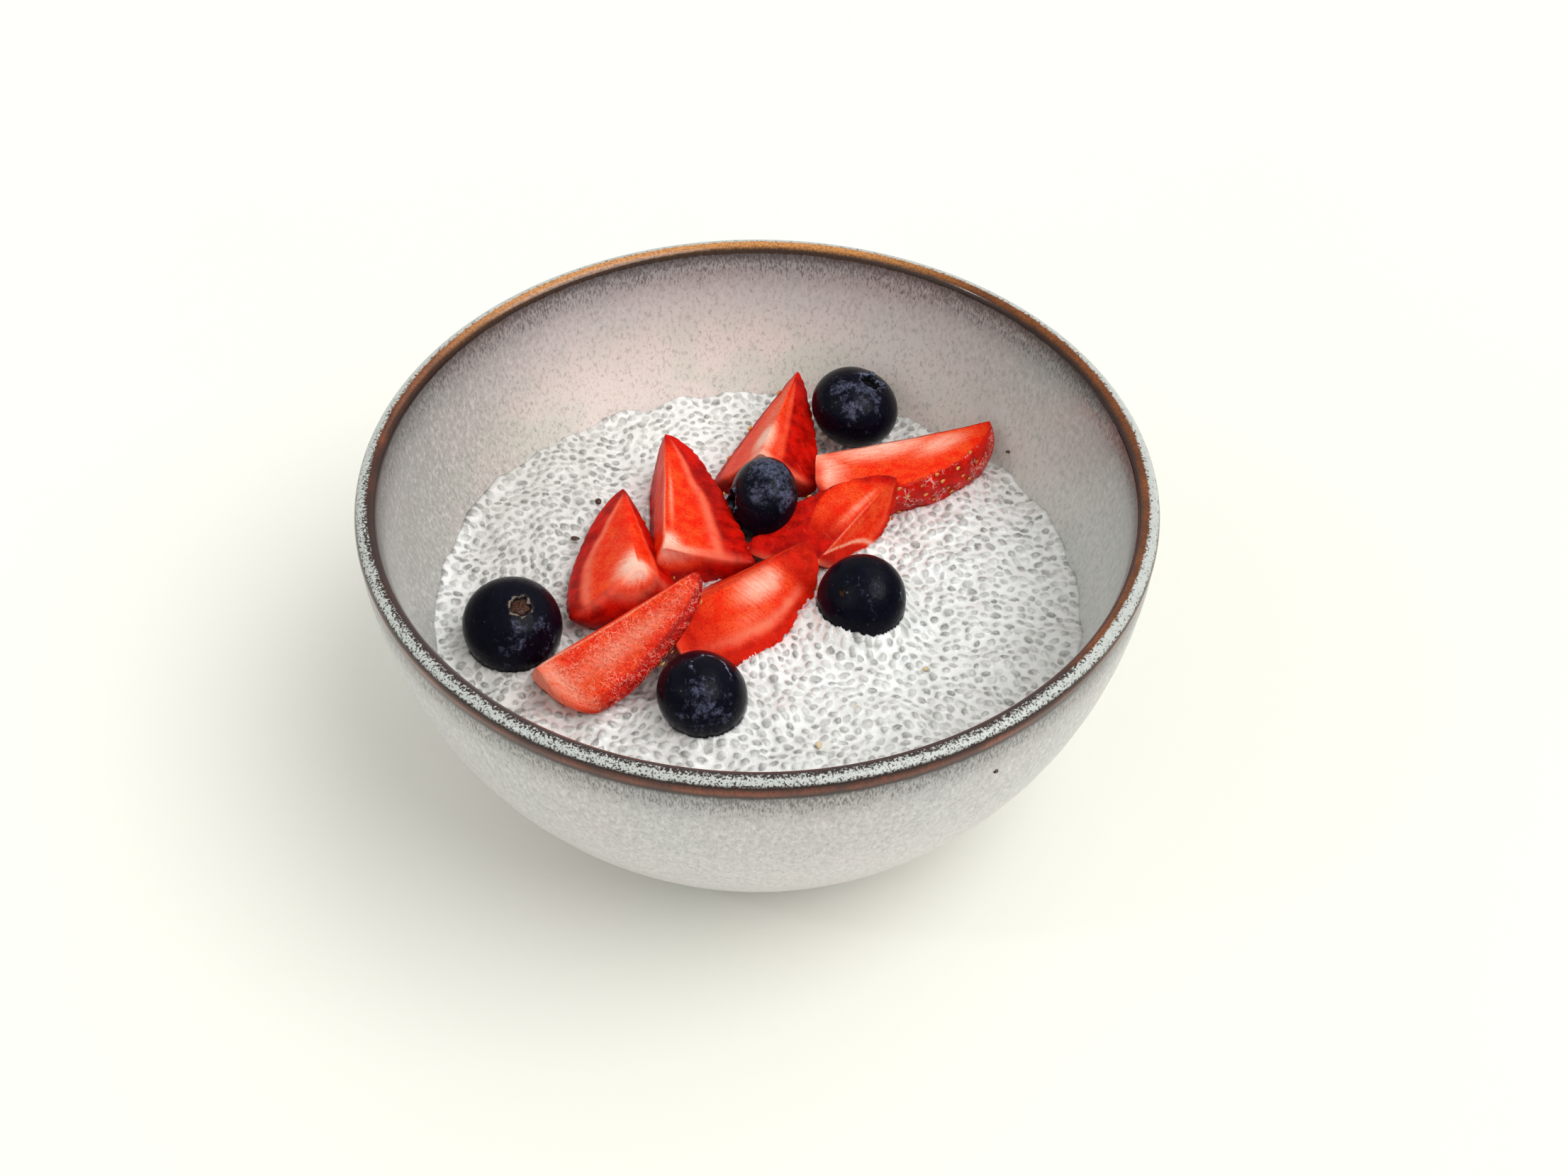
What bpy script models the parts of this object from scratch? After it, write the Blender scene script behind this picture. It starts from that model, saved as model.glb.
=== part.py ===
"""Chia pudding in its stoneware bowl, topped with strawberry wedges and blueberries.

Lengths are written in millimetres and turned into metres as meshes are made. The origin is
the centre of the foot ring's underside, +Z is up, and -Y is the side seen in front.
"""

import math
import random

import bmesh
import bpy
from mathutils import Vector, geometry, noise

MM = 0.001
SEED = 7

# Bowl
RIM_RADIUS = 75.0
BOWL_HEIGHT = 72.0
BODY_DEPTH = 80.6  # depth below the lip at which the outer curve would close
WALL = 4.7
LIP_THICKNESS = 4.2
FOOT_RADIUS = 31.0
FOOT_WIDTH = 4.0
FOOT_HEIGHT = 2.5
FLOOR_TOP = 6.5
FLOOR_RADIUS = 38.0
SIDES = 60
LIP_STEPS = 6
# Heights where the inner and the outer wall have rings
WALL_STATIONS = (60.0, 50.0, 40.0, 31.0, 20.0, 10.0)
OUTER_STATIONS = (3.4, 8.0, 16.0, 28.0, 42.0, 57.0)
GAP = 0.3

# Pudding
PUDDING_LEVEL = 38.1
SEED_PITCH = 3.7
SEED_JITTER = 0.16  # share of the pitch
SEED_BUMP = 0.75
WAVE_HEIGHT = 0.35
WAVE_LENGTH = 9.0
# Where the surface rises or dips: direction in degrees from +X, distance out, rise, spread
SWELLS = (
    (154, 52, 1.3, 14),
    (28, 50, 1.2, 16),
    (100, 52, -0.7, 22),
    (180, 56, -0.8, 14),
    (-60, 35, 0.5, 18),
    (-120, 50, -0.4, 16),
    (30, 22, 1.0, 12),
)

# Strawberry wedges: the core at the hull end, the tip, and the two skin corners at the
# hull end, then for each of the two skin edges its taper, its roundness and its shoulder.
WEDGES = (
    ((-24.5, -2.5, 51.5), (-28.5, 27.5, 44.0), (-37.0, -10.0, 44.0), (-15.0, -1.0, 42.5),
     (1.95, 1.6, 0.04), (1.25, 1.15, 0.08)),
    ((-18.5, 3.5, 50.0), (-19.2, 39.0, 48.5), (-21.5, 4.0, 41.0), (-1.0, 6.0, 45.0),
     (1.7, 1.6, 0.45), (1.0, 1.8, 0.0)),
    ((0.5, 30.0, 51.0), (8.5, 59.0, 48.5), (-10.5, 31.5, 39.5), (12.5, 28.5, 42.0),
     (1.25, 1.2, 0.08), (1.15, 1.35, 0.05)),
    ((13.5, 35.0, 47.0), (48.5, 42.5, 49.5), (16.5, 26.0, 48.5), (20.5, 29.5, 35.0),
     (1.9, 1.75, 0.44), (2.1, 1.9, 0.17)),
    ((13.0, 3.5, 48.0), (27.5, 23.0, 51.0), (0.0, 11.5, 44.5), (20.5, 14.5, 37.5),
     (1.8, 1.65, 0.13), (1.65, 1.3, 0.15)),
    ((-13.5, -12.5, 52.5), (11.0, 9.5, 47.5), (-8.8, -20.8, 42.0), (-19.3, -4.2, 40.4),
     (2.6, 1.8, 0.28), (1.55, 1.3, 0.08)),
    ((-41.5, -27.0, 49.0), (-11.0, -9.0, 57.0), (-30.0, -33.8, 41.8), (-42.5, -17.5, 37.5),
     (1.35, 1.75, 0.1), (1.6, 1.3, 0.1)),
)
WEDGE_STATIONS = 9
STATION_CROWDING = 1.4  # how much closer the stations lie towards the tip
WEDGE_ARC_STEPS = 8
# Which wedge is pressed in by which wedge or berry that lies on it
PRESSED_WEDGES = ((2, 1), (4, 5), (5, 6), (6, 7), (6, 1))
PRESSED_BY_BERRY = ((2, 2), (3, 1), (3, 2), (5, 2), (6, 5), (7, 5))

# Blueberries: centre, radius, height over width, and the way the crown points
BERRIES = (
    ((20.4, 50.0, 46.0), 9.4, 0.86, (0.36, 0.1, 0.9)),
    ((1.1, 21.9, 45.8), 8.6, 0.8, (-0.96, -0.1, 0.25)),
    ((20.2, -3.7, 43.0), 8.9, 0.88, (-0.38, -0.55, 0.74)),
    ((-47.2, -10.9, 43.1), 9.75, 0.88, (0.23, -0.3, 0.93)),
    ((-10.4, -29.1, 43.5), 8.8, 0.9, (0.44, 0.16, 0.88)),
)
BERRY_SIDES = 15
CROWN_LOBES = 5
# Angles from the crown's axis, in radians, and rises and dips as shares of the berry's radius
CROWN_ANGLE = 0.36
CROWN_RING_SPREAD = 0.13
CROWN_DIP_SPREAD = 0.24
CROWN_RISE = 0.1
CROWN_DIP = 0.1
BERRY_RINGS = (0.2, CROWN_ANGLE, 0.56, 0.85, 1.2, 1.6, 2.0, 2.4, 2.8)


def clear_scene():
    for obj in list(bpy.data.objects):
        bpy.data.objects.remove(obj, do_unlink=True)


def material(name, colour, roughness, metallic=0.0):
    made = bpy.data.materials.new(name)
    made.use_nodes = True
    shader = made.node_tree.nodes["Principled BSDF"]
    shader.inputs["Base Color"].default_value = (*colour, 1.0)
    shader.inputs["Roughness"].default_value = roughness
    shader.inputs["Metallic"].default_value = metallic
    return made


def new_object(name, points, faces, look):
    """A closed object from points in millimetres, with its faces turned outwards."""
    mesh = bpy.data.meshes.new(name)
    mesh.from_pydata([Vector(p) * MM for p in points], [], faces)
    build = bmesh.new()
    build.from_mesh(mesh)
    bmesh.ops.triangulate(build, faces=build.faces[:])
    bmesh.ops.recalc_face_normals(build, faces=build.faces[:])
    build.to_mesh(mesh)
    build.free()
    mesh.shade_smooth()
    mesh.set_sharp_from_angle(angle=math.radians(40))
    mesh.materials.append(look)
    obj = bpy.data.objects.new(name, mesh)
    bpy.context.scene.collection.objects.link(obj)
    return obj


def outer_radius(z):
    """The bowl's outer wall at a height above the table."""
    depth = BOWL_HEIGHT - z
    return RIM_RADIUS * math.sqrt(1.0 - (depth / BODY_DEPTH) ** 2)


def inner_radius(z):
    return outer_radius(z) - WALL


def wall_radius(z):
    """The faceted inner wall at a height, between the rings that it is built from."""
    for high, low in zip(WALL_STATIONS, WALL_STATIONS[1:]):
        if low <= z <= high:
            share = (z - low) / (high - low)
            return inner_radius(low) * (1.0 - share) + inner_radius(high) * share
    return inner_radius(z)


def lip_points(steps):
    """The rounded lip, from its outer side over the top to its inner side."""
    half = LIP_THICKNESS / 2
    centre = RIM_RADIUS - half
    top = BOWL_HEIGHT - half
    angles = [math.pi * i / steps for i in range(steps + 1)]
    return [(centre + half * math.cos(a), top + half * math.sin(a)) for a in angles]


def bowl_profile():
    """Half section of the bowl, from the middle of its underside round to its floor."""
    foot_inner = FOOT_RADIUS - FOOT_WIDTH
    under = [(0.0, FOOT_HEIGHT), (foot_inner, FOOT_HEIGHT), (foot_inner, 0.0)]
    under += [(FOOT_RADIUS, 0.0), (FOOT_RADIUS, FOOT_HEIGHT)]
    outer = [(outer_radius(z), z) for z in OUTER_STATIONS]
    inner = [(inner_radius(z), z) for z in WALL_STATIONS]
    floor = [(FLOOR_RADIUS, FLOOR_TOP), (0.0, FLOOR_TOP)]
    return under + outer + lip_points(LIP_STEPS) + inner + floor


def turned(profile, sides):
    """Points and faces of a profile of (radius, height) turned about Z; radius 0 is a pole."""
    points = []
    rings = []
    for radius, z in profile:
        if radius == 0.0:
            rings.append([len(points)])
            points.append((0.0, 0.0, z))
            continue
        rings.append(list(range(len(points), len(points) + sides)))
        for i in range(sides):
            angle = 2 * math.pi * i / sides
            points.append((radius * math.cos(angle), radius * math.sin(angle), z))
    faces = []
    for low, high in zip(rings, rings[1:]):
        for i in range(sides):
            j = (i + 1) % sides
            corners = [low[i % len(low)], low[j % len(low)], high[j % len(high)], high[i % len(high)]]
            faces.append(tuple(dict.fromkeys(corners)))
    return points, faces


def make_bowl():
    points, faces = turned(bowl_profile(), SIDES)
    glaze = material("glazed stoneware", (0.62, 0.58, 0.54), 0.35)
    return new_object("bowl", points, faces, glaze)


def edge_width(t, taper, roundness, shoulder):
    """Width of a wedge at t along its core, 0 at the hull and 1 at the tip, as a share."""
    body = (1.0 - t**taper) ** (1.0 / roundness)
    return body * (1.0 - shoulder * (1.0 - t) ** 4) / (1.0 - shoulder)


def wedge_point(wedge, t, turn):
    """A point of the skin, t along the core and turn from one cut face, 0, to the other, 1."""
    core, tip, left, right = [Vector(p) for p in wedge[:4]]
    to_left, to_right = left - core, right - core
    shape = [a + (b - a) * turn for a, b in zip(wedge[4], wedge[5])]
    reach = to_left.length * (1.0 - turn) + to_right.length * turn
    way = to_left.normalized().slerp(to_right.normalized(), turn)
    return core + (tip - core) * t + way * reach * edge_width(t, *shape)


def wedge_mesh(wedge):
    """Points and faces of a quarter strawberry: two cut faces, the skin and the hull cut."""
    core, tip = Vector(wedge[0]), Vector(wedge[1])
    steps = [i / WEDGE_STATIONS for i in range(WEDGE_STATIONS)]
    stations = [1.0 - (1.0 - step) ** STATION_CROWDING for step in steps]
    turns = [j / WEDGE_ARC_STEPS for j in range(WEDGE_ARC_STEPS + 1)]
    points = []
    for t in stations:
        points.append(core + (tip - core) * t)
        points += [wedge_point(wedge, t, turn) for turn in turns]
    row = len(turns) + 1
    last = len(points)
    points.append(tip)
    faces = []
    for i in range(WEDGE_STATIONS):
        a, b = i * row, (i + 1) * row
        for j in range(row):
            k = (j + 1) % row
            if i + 1 < WEDGE_STATIONS:
                faces.append((a + j, b + j, b + k, a + k))
            else:
                faces.append((a + j, last, a + k))
    faces += [(0, j, j + 1) for j in range(1, row - 1)]
    return points, faces


def berry_radius(polar, azimuth):
    """Distance of a unit blueberry's skin from its centre; polar angle 0 is the crown."""
    ring = math.exp(-(((polar - CROWN_ANGLE) / CROWN_RING_SPREAD) ** 2))
    lobes = 0.75 + 0.25 * math.cos(CROWN_LOBES * azimuth)
    dip = math.exp(-((polar / CROWN_DIP_SPREAD) ** 2))
    return 1.0 + CROWN_RISE * ring * lobes - CROWN_DIP * dip


def berry_mesh(berry):
    """Points and faces of a blueberry: a flattened ball with a crown in relief."""
    centre, radius, flatness, crown = berry
    turn = Vector((0, 0, 1)).rotation_difference(Vector(crown).normalized())
    points = [Vector((0, 0, flatness * berry_radius(0.0, 0.0)))]
    for polar in BERRY_RINGS:
        for i in range(BERRY_SIDES):
            azimuth = 2 * math.pi * i / BERRY_SIDES
            reach = berry_radius(polar, azimuth)
            side = reach * math.sin(polar)
            height = flatness * reach * math.cos(polar)
            points.append(Vector((side * math.cos(azimuth), side * math.sin(azimuth), height)))
    points.append(Vector((0, 0, -flatness)))
    points = [Vector(centre) + turn @ (p * radius) for p in points]
    last = len(points) - 1
    faces = []
    for i in range(BERRY_SIDES):
        j = (i + 1) % BERRY_SIDES
        faces.append((0, 1 + i, 1 + j))
        for ring in range(len(BERRY_RINGS) - 1):
            a = 1 + ring * BERRY_SIDES
            b = a + BERRY_SIDES
            faces.append((a + i, b + i, b + j, a + j))
        end = 1 + (len(BERRY_RINGS) - 1) * BERRY_SIDES
        faces.append((end + i, last, end + j))
    return points, faces


def grown_copy(obj, margin):
    """A hidden copy of an object with each face moved out by a margin, to cut with."""
    mesh = obj.data.copy()
    build = bmesh.new()
    build.from_mesh(mesh)
    build.normal_update()
    moves = [v.normal * min(v.calc_shell_factor(), 2.0) * margin * MM for v in build.verts]
    for vertex, move in zip(build.verts, moves):
        vertex.co += move
    build.to_mesh(mesh)
    build.free()
    cutter = bpy.data.objects.new(obj.name + "_cutter", mesh)
    bpy.context.scene.collection.objects.link(cutter)
    cutter.hide_render = True
    cutter.display_type = "WIRE"
    return cutter


def cut(obj, cutter):
    """Takes a cutter's shape out of an object."""
    boolean = obj.modifiers.new("pressed by " + cutter.name, "BOOLEAN")
    boolean.operation = "DIFFERENCE"
    boolean.solver = "EXACT"
    boolean.object = cutter


def surface_height(x, y):
    """Height of the pudding's surface between its seeds."""
    z = PUDDING_LEVEL
    for direction, distance, rise, spread in SWELLS:
        angle = math.radians(direction)
        away = math.hypot(x - distance * math.cos(angle), y - distance * math.sin(angle))
        z += rise * math.exp(-((away / spread) ** 2))
    return z + WAVE_HEIGHT * noise.noise(Vector((x, y, 3.0)) / WAVE_LENGTH)


def seed_lattice(reach):
    """Places of the seeds and of the hollows between them, on a jittered triangle lattice."""
    draw = random.Random(SEED)
    row_step = SEED_PITCH * math.sqrt(3) / 2
    rows = int(reach / row_step) + 1
    seeds, hollows = [], []
    for j in range(-rows, rows + 1):
        for i in range(-rows - 1, rows + 2):
            x = (i + 0.5 * (j % 2)) * SEED_PITCH
            y = j * row_step
            places = ((seeds, x, y), (hollows, x, y + row_step * 2 / 3))
            places += ((hollows, x + SEED_PITCH / 2, y + row_step / 3),)
            for kind, px, py in places:
                px += draw.uniform(-SEED_JITTER, SEED_JITTER) * SEED_PITCH
                py += draw.uniform(-SEED_JITTER, SEED_JITTER) * SEED_PITCH
                if math.hypot(px, py) < reach:
                    kind.append((px, py))
    return seeds, hollows


def pudding_mesh():
    """Points and faces of the pudding: the bowl's inside filled, with a bump for each seed."""
    draw = random.Random(SEED + 1)
    edge = wall_radius(PUDDING_LEVEL) - GAP
    seeds, hollows = seed_lattice(edge - SEED_PITCH * 0.55)
    flat = [Vector(p) for p in hollows + seeds]
    bumps = [0.0] * len(hollows)
    bumps += [SEED_BUMP * draw.uniform(0.6, 1.15) for _ in seeds]
    first_edge = len(flat)
    rim = []
    for i in range(SIDES):
        angle = 2 * math.pi * i / SIDES
        rim.append(Vector((math.cos(angle), math.sin(angle))))
        flat.append(rim[-1] * edge)
        bumps.append(0.0)
    edges = [(first_edge + i, first_edge + (i + 1) % SIDES) for i in range(SIDES)]
    found = geometry.delaunay_2d_cdt(flat, edges, [], 1, 1e-4)
    places, triangles, sources = found[0], found[2], found[3]
    points = []
    rings = [[None] * SIDES]
    for index, (place, source) in enumerate(zip(places, sources)):
        z = surface_height(place.x, place.y)
        if source[0] >= first_edge:
            side = source[0] - first_edge
            rings[0][side] = index
            place = rim[side] * (wall_radius(z) - GAP)
        points.append((place.x, place.y, z + bumps[source[0]]))
    faces = [tuple(t) for t in triangles]
    below = [z for z in WALL_STATIONS if z < PUDDING_LEVEL - SEED_PITCH]
    walls = [(wall_radius(z) - GAP, z + GAP) for z in below]
    walls.append((FLOOR_RADIUS - GAP, FLOOR_TOP + GAP))
    for radius, z in walls:
        rings.append(list(range(len(points), len(points) + SIDES)))
        points += [(way.x * radius, way.y * radius, z) for way in rim]
    for high, low in zip(rings, rings[1:]):
        for i in range(SIDES):
            j = (i + 1) % SIDES
            faces.append((high[i], low[i], low[j], high[j]))
    bottom = len(points)
    points.append((0.0, 0.0, FLOOR_TOP + GAP))
    last = rings[-1]
    faces += [(last[i], bottom, last[(i + 1) % SIDES]) for i in range(SIDES)]
    return points, faces


def make_wedges():
    flesh = material("strawberry", (0.72, 0.08, 0.03), 0.3)
    made = []
    for number, wedge in enumerate(WEDGES, start=1):
        points, faces = wedge_mesh(wedge)
        made.append(new_object(f"strawberry_wedge_{number}", points, faces, flesh))
    return made


def make_berries():
    skin = material("blueberry", (0.015, 0.018, 0.04), 0.4)
    made = []
    for number, berry in enumerate(BERRIES, start=1):
        points, faces = berry_mesh(berry)
        made.append(new_object(f"blueberry_{number}", points, faces, skin))
    return made


def make_pudding():
    points, faces = pudding_mesh()
    cream = material("chia pudding", (0.72, 0.71, 0.68), 0.3)
    return new_object("pudding", points, faces, cream)


def main():
    clear_scene()
    make_bowl()
    wedges = make_wedges()
    berries = make_berries()
    wedge_cutters = [grown_copy(obj, GAP) for obj in wedges]
    berry_cutters = [grown_copy(obj, GAP) for obj in berries]
    for under, over in PRESSED_WEDGES:
        cut(wedges[under - 1], wedge_cutters[over - 1])
    for under, over in PRESSED_BY_BERRY:
        cut(wedges[under - 1], berry_cutters[over - 1])
    pudding = make_pudding()
    for cutter in wedge_cutters + berry_cutters:
        cut(pudding, cutter)


main()
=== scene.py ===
"""Looks of the chia pudding in its stoneware bowl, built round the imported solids.

Lengths are written in millimetres and turned into metres as meshes are made. The frame is
the solids' own: +Z is up, the origin is under the middle of the bowl, -Y is the near side.
"""

import math
import random
from collections import namedtuple

import bmesh
import bpy
import numpy as np
from mathutils import Matrix, Vector, bvhtree, kdtree, noise


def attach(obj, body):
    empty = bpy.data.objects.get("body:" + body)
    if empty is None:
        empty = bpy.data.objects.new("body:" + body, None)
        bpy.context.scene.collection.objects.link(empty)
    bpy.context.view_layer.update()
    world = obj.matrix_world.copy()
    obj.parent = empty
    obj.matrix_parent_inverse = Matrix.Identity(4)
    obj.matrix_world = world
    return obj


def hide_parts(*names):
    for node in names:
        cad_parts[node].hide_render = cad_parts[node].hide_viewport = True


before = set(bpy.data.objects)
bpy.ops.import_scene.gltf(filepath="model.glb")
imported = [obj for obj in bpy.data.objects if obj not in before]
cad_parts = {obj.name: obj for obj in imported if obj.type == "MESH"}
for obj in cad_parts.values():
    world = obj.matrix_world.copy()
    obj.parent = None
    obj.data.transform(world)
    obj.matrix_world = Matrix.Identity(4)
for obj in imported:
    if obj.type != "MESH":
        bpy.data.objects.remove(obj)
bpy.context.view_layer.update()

MM = 0.001
SEED = 7

# Camera
CAMERA_DISTANCE = 420.0  # to the middle of the rim's plane
CAMERA_ELEVATION = 42.47
CAMERA_ROLL = 0.719
CAMERA_SIDESTEP = 4.9
CAMERA_DROP = 20.92
LENS = 51.5

# Light: for each lamp its direction in degrees, from +X about Z and up from the table, how
# many degrees wide it is, and its power
LAMPS = {
    "wide key": (-27.0, 57.0, 44.0, 1.55),
    "wide back": (40.0, 58.0, 44.0, 0.36),
    "wide fill": (-146.0, 36.0, 45.0, 0.13),
    "small glint": (-160.0, 42.0, 2.5, 0.14),
}
SKY_POWER = 0.595
SKY_COLOUR = (1.0, 1.0, 0.985, 1.0)
TABLE_REACH = 3000.0

# Bowl, with the sizes of its solid
RIM_RADIUS = 75.0
BOWL_HEIGHT = 72.0
BODY_DEPTH = 80.6
WALL = 4.7
LIP_THICKNESS = 4.2
FOOT_RADIUS = 31.0
FOOT_WIDTH = 4.0
FOOT_HEIGHT = 2.5
FOOT_EDGE = 0.4
FOOT_FLARE = (0.6, 0.5)  # where the foot meets the wall: out, and down
FLOOR_TOP = 6.5
FLOOR_RADIUS = 38.0
BOWL_SIDES = 360
OUTER_WALL_FROM = 3.4
INNER_WALL_FROM = 10.0
WALL_STEP = 0.9
LIP_STEPS = 40
THROWING_DEPTH = 0.07  # of the faint rings left by turning
THROWING_PITCH = 5.5
# Distances over the lip from its top, negative on the outer side
INNER_BAND = (0.0, 2.8)
OUTER_BAND = (-4.0, -2.3)
BAND_DRAWN_DOWN = 0.375  # how strongly the outer band's lower part is stretched at the near side
BAND_SOFTNESS = 0.22
LIP_MIDDLE = -1.1  # of the pale glaze between the bands
STREAKS_INSIDE = 14.0
STREAKS_OUTSIDE = -15.0
RUN = (1.0, 1.0, 0.3)  # stretches a pattern downwards, as glaze runs

# Pudding, with the level and the swells of its solid
PUDDING_LEVEL = 38.1
WAVE_HEIGHT = 0.35
WAVE_LENGTH = 9.0
SWELLS = (  # direction in degrees, distance, rise and spread
    (154, 52, 1.3, 14),
    (28, 50, 1.2, 16),
    (100, 52, -0.7, 22),
    (180, 56, -0.8, 14),
    (-60, 35, 0.5, 18),
    (-120, 50, -0.4, 16),
    (30, 22, 1.0, 12),
)
PUDDING_RINGS = 176
INTO_WALL = 0.15  # how far the pudding reaches into the bowl's wall
SIDE_HEIGHTS = (30.0, 20.0, 12.0)  # of the rings in the pudding's hidden side
PUDDING_BOTTOM = FLOOR_TOP + 0.3
OFF_WALL = 0.2  # how far its hidden side stays off the wall
LUMP_HEIGHT = 1.25
LUMP_LENGTH = 6.5
FINE_HEIGHT = 0.3
FINE_LENGTH = 2.6
CONTACT_RISE = 1.2
CONTACT_SPREAD = 2.2
CONTACT_REACH = 0.8  # how near the pudding's level a topping's points count as touching it
PRESSED_UNDER = 0.3  # how far the pudding stays under a topping, and how steeply it rises there
PRESS_SLOPE = 3.0
SEED_SPACING = 1.72
SEED_RISE = 0.6
SEED_WARP = 0.28  # how far the seeds' outlines are pulled out of shape
SEED_LENGTHS = (0.4, 0.56)  # half lengths, as shares of the room between seeds
SEED_WIDTHS = (0.55, 0.85)  # as shares of the lengths
SEED_TURNS = (-0.8, 0.8)  # off the direction in which the pudding was stirred
SEED_RISES = (0.5, 1.2)
STIRRED_LENGTH = 16.0
LIGHT_SIDE_SPREAD = 40.0  # turns the clearness of a seed into the direction of its light side
EDGE_HEAP = 0.6  # of the pudding against the wall, and how far it varies
EDGE_WANDER = 0.9
EDGE_SPREAD = 1.3
HEAPS = {3: 2.8, 5: 1.4}  # extra height of the pudding round some blueberries
HEAP_SPREAD = 3.5

# Strawberry wedges, as in the solids: core at the hull end, tip, left and right corner, then
# taper, roundness and shoulder of the left edge and of the right edge. The hull ends of the
# first, second, fourth, fifth and sixth reach up to 5 mm further here, mostly to meet the
# pieces that cover them.
WEDGES = (
    ((-22.7, -2.4, 51.5), (-27.6, 27.5, 44.3), (-38.3, -10.6, 43.7), (-15.0, -1.0, 42.5),
     (1.95, 1.6, 0.04), (1.25, 1.15, 0.08)),
    ((-18.5, 3.5, 50.0), (-19.2, 39.0, 48.5), (-21.5, 4.0, 41.0), (0.3, 5.0, 44.0),
     (2.4, 2.2, 0.45), (1.0, 1.9, 0.0)),
    ((0.5, 30.0, 51.0), (8.5, 59.0, 48.5), (-10.5, 31.5, 39.5), (12.5, 28.5, 42.0),
     (1.25, 1.2, 0.08), (1.15, 1.35, 0.05)),
    ((11.7, 34.5, 46.8), (48.5, 42.5, 49.0), (12.0, 22.5, 47.0), (18.5, 28.5, 35.0),
     (2.1, 1.9, 0.32), (2.3, 2.1, 0.17)),
    ((11.0, 5.2, 43.5), (27.5, 23.0, 51.0), (-3.8, 11.0, 42.2), (20.0, 11.5, 37.5),
     (2.3, 1.9, 0.0), (1.75, 1.35, 0.15)),
    ((-17.0, -15.2, 51.5), (10.4, 9.0, 47.3), (-9.8, -21.6, 42.0), (-19.3, -4.2, 40.4),
     (2.6, 1.8, 0.28), (1.55, 1.3, 0.08)),
    ((-41.5, -27.0, 49.0), (-11.0, -9.0, 57.0), (-30.0, -33.8, 41.8), (-42.5, -17.5, 37.5),
     (1.35, 1.75, 0.1), (1.6, 1.3, 0.1)),
)
HULL_BULGE = {1: 2.8, 5: 1.6, 6: 3.0, 7: 2.4}  # of the middle of a hull end, beyond its corners
USUAL_BULGE = 0.6
STATIONS = 84
STATION_CROWDING = 1.3
CUT_STEPS = 40
ARC_STEPS = 48
CUT_WAVE = 0.3
# How far an edge is rounded, in mesh edges to each side, and how strongly
SOFT_EDGES = {1: (12, 90), 7: (11, 80)}
USUAL_EDGES = (3, 9)
CREASE_BLEND = 0.08  # share of a wedge's length over which its hull end's colours fade out
SCALLOP_PITCH = 2.4  # of the notches along the skin's edges
SCALLOP_DEPTH = 0.42
ACHENE_PITCH = 3.9
PIT_DEPTH = 0.38
PIT_RADIUS = 0.8
ACHENE_SIZE = (1.15, 0.72, 0.42)  # long, wide and thick
ACHENES_KEPT = {4: 0.85}  # the share that hasn't come off
USUALLY_KEPT = 0.5
# Stray seeds and bits: place, length, width and thickness
DARK_SEEDS = (
    ((-32.9, 27.9, 39.9), (1.5, 1.35, 1.1)),
    ((-37.2, 16.9, 39.4), (1.9, 1.2, 0.6)),
    ((52.6, 39.2, 43.2), (1.6, 0.8, 0.6)),
    ((18.8, -10.7, 39.5), (1.5, 1.1, 0.7)),
    ((40.9, -61.9, 60.3), (1.0, 0.8, 0.7)),
)
PALE_SEEDS = (
    ((32.3, -18.5, 39.6), (1.3, 0.9, 0.6)),
    ((18.8, -29.0, 39.4), (1.9, 1.2, 0.7)),
    ((11.3, -37.8, 39.3), (1.8, 1.2, 0.7)),
)

# Blueberries, as in the solids: centre, radius, height over width, crown direction
BERRIES = (
    ((20.4, 50.0, 46.0), 9.4, 0.86, (0.36, 0.1, 0.9)),
    ((1.1, 21.9, 45.8), 8.6, 0.8, (-0.96, -0.1, 0.25)),
    ((20.2, -3.7, 43.0), 8.9, 0.88, (-0.38, -0.55, 0.74)),
    ((-47.2, -10.9, 43.1), 9.75, 0.88, (0.23, -0.3, 0.93)),
    ((-10.4, -29.1, 43.5), 8.8, 0.9, (0.44, 0.16, 0.88)),
)
# In the looks: the crown's direction, the angle from there to its edge, how far its lobes rise,
# the way to the middle of the bloom and its strength, how pale the lobes are, how brown the
# inside is, with -1 for one that is as flat and dark as the skin, and how far the lobes are
# missing on the near side
BerryLook = namedtuple("BerryLook", "facing angle rise bloom_way bloom pale dry gap", defaults=(0.0,))
BERRY_LOOKS = (
    BerryLook((0.42, 0.05, 0.9), 0.3, 0.08, (0.0, -0.35, 0.9), 0.38, 0.7, 0.0, 0.5),
    BerryLook((-0.97, -0.22, 0.15), 0.33, 0.1, (0.1, -0.3, 1.0), 0.41, 0.7, 0.1),
    BerryLook((-0.5, -0.5, 0.71), 0.14, 0.0, (0.5, -0.5, 0.75), 0.2, 0.0, 0.6),
    BerryLook((0.27, -0.28, 0.92), 0.24, 0.015, (0.4, -0.8, 0.3), 0.26, 0.9, 1.0),
    BerryLook((0.24, -0.1, 0.96), 0.5, 0.0, (0.0, -0.8, 0.6), 0.31, 1.3, -1.0, 1.0),
)
BERRY_SIDES = 120
BERRY_RINGS = 110
RING_CROWDING = 1.7  # of the mesh towards the crown
CROWN_LOBES = 5
LOBE_THICKNESS = 0.035
CROWN_DIP = 0.12

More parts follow.
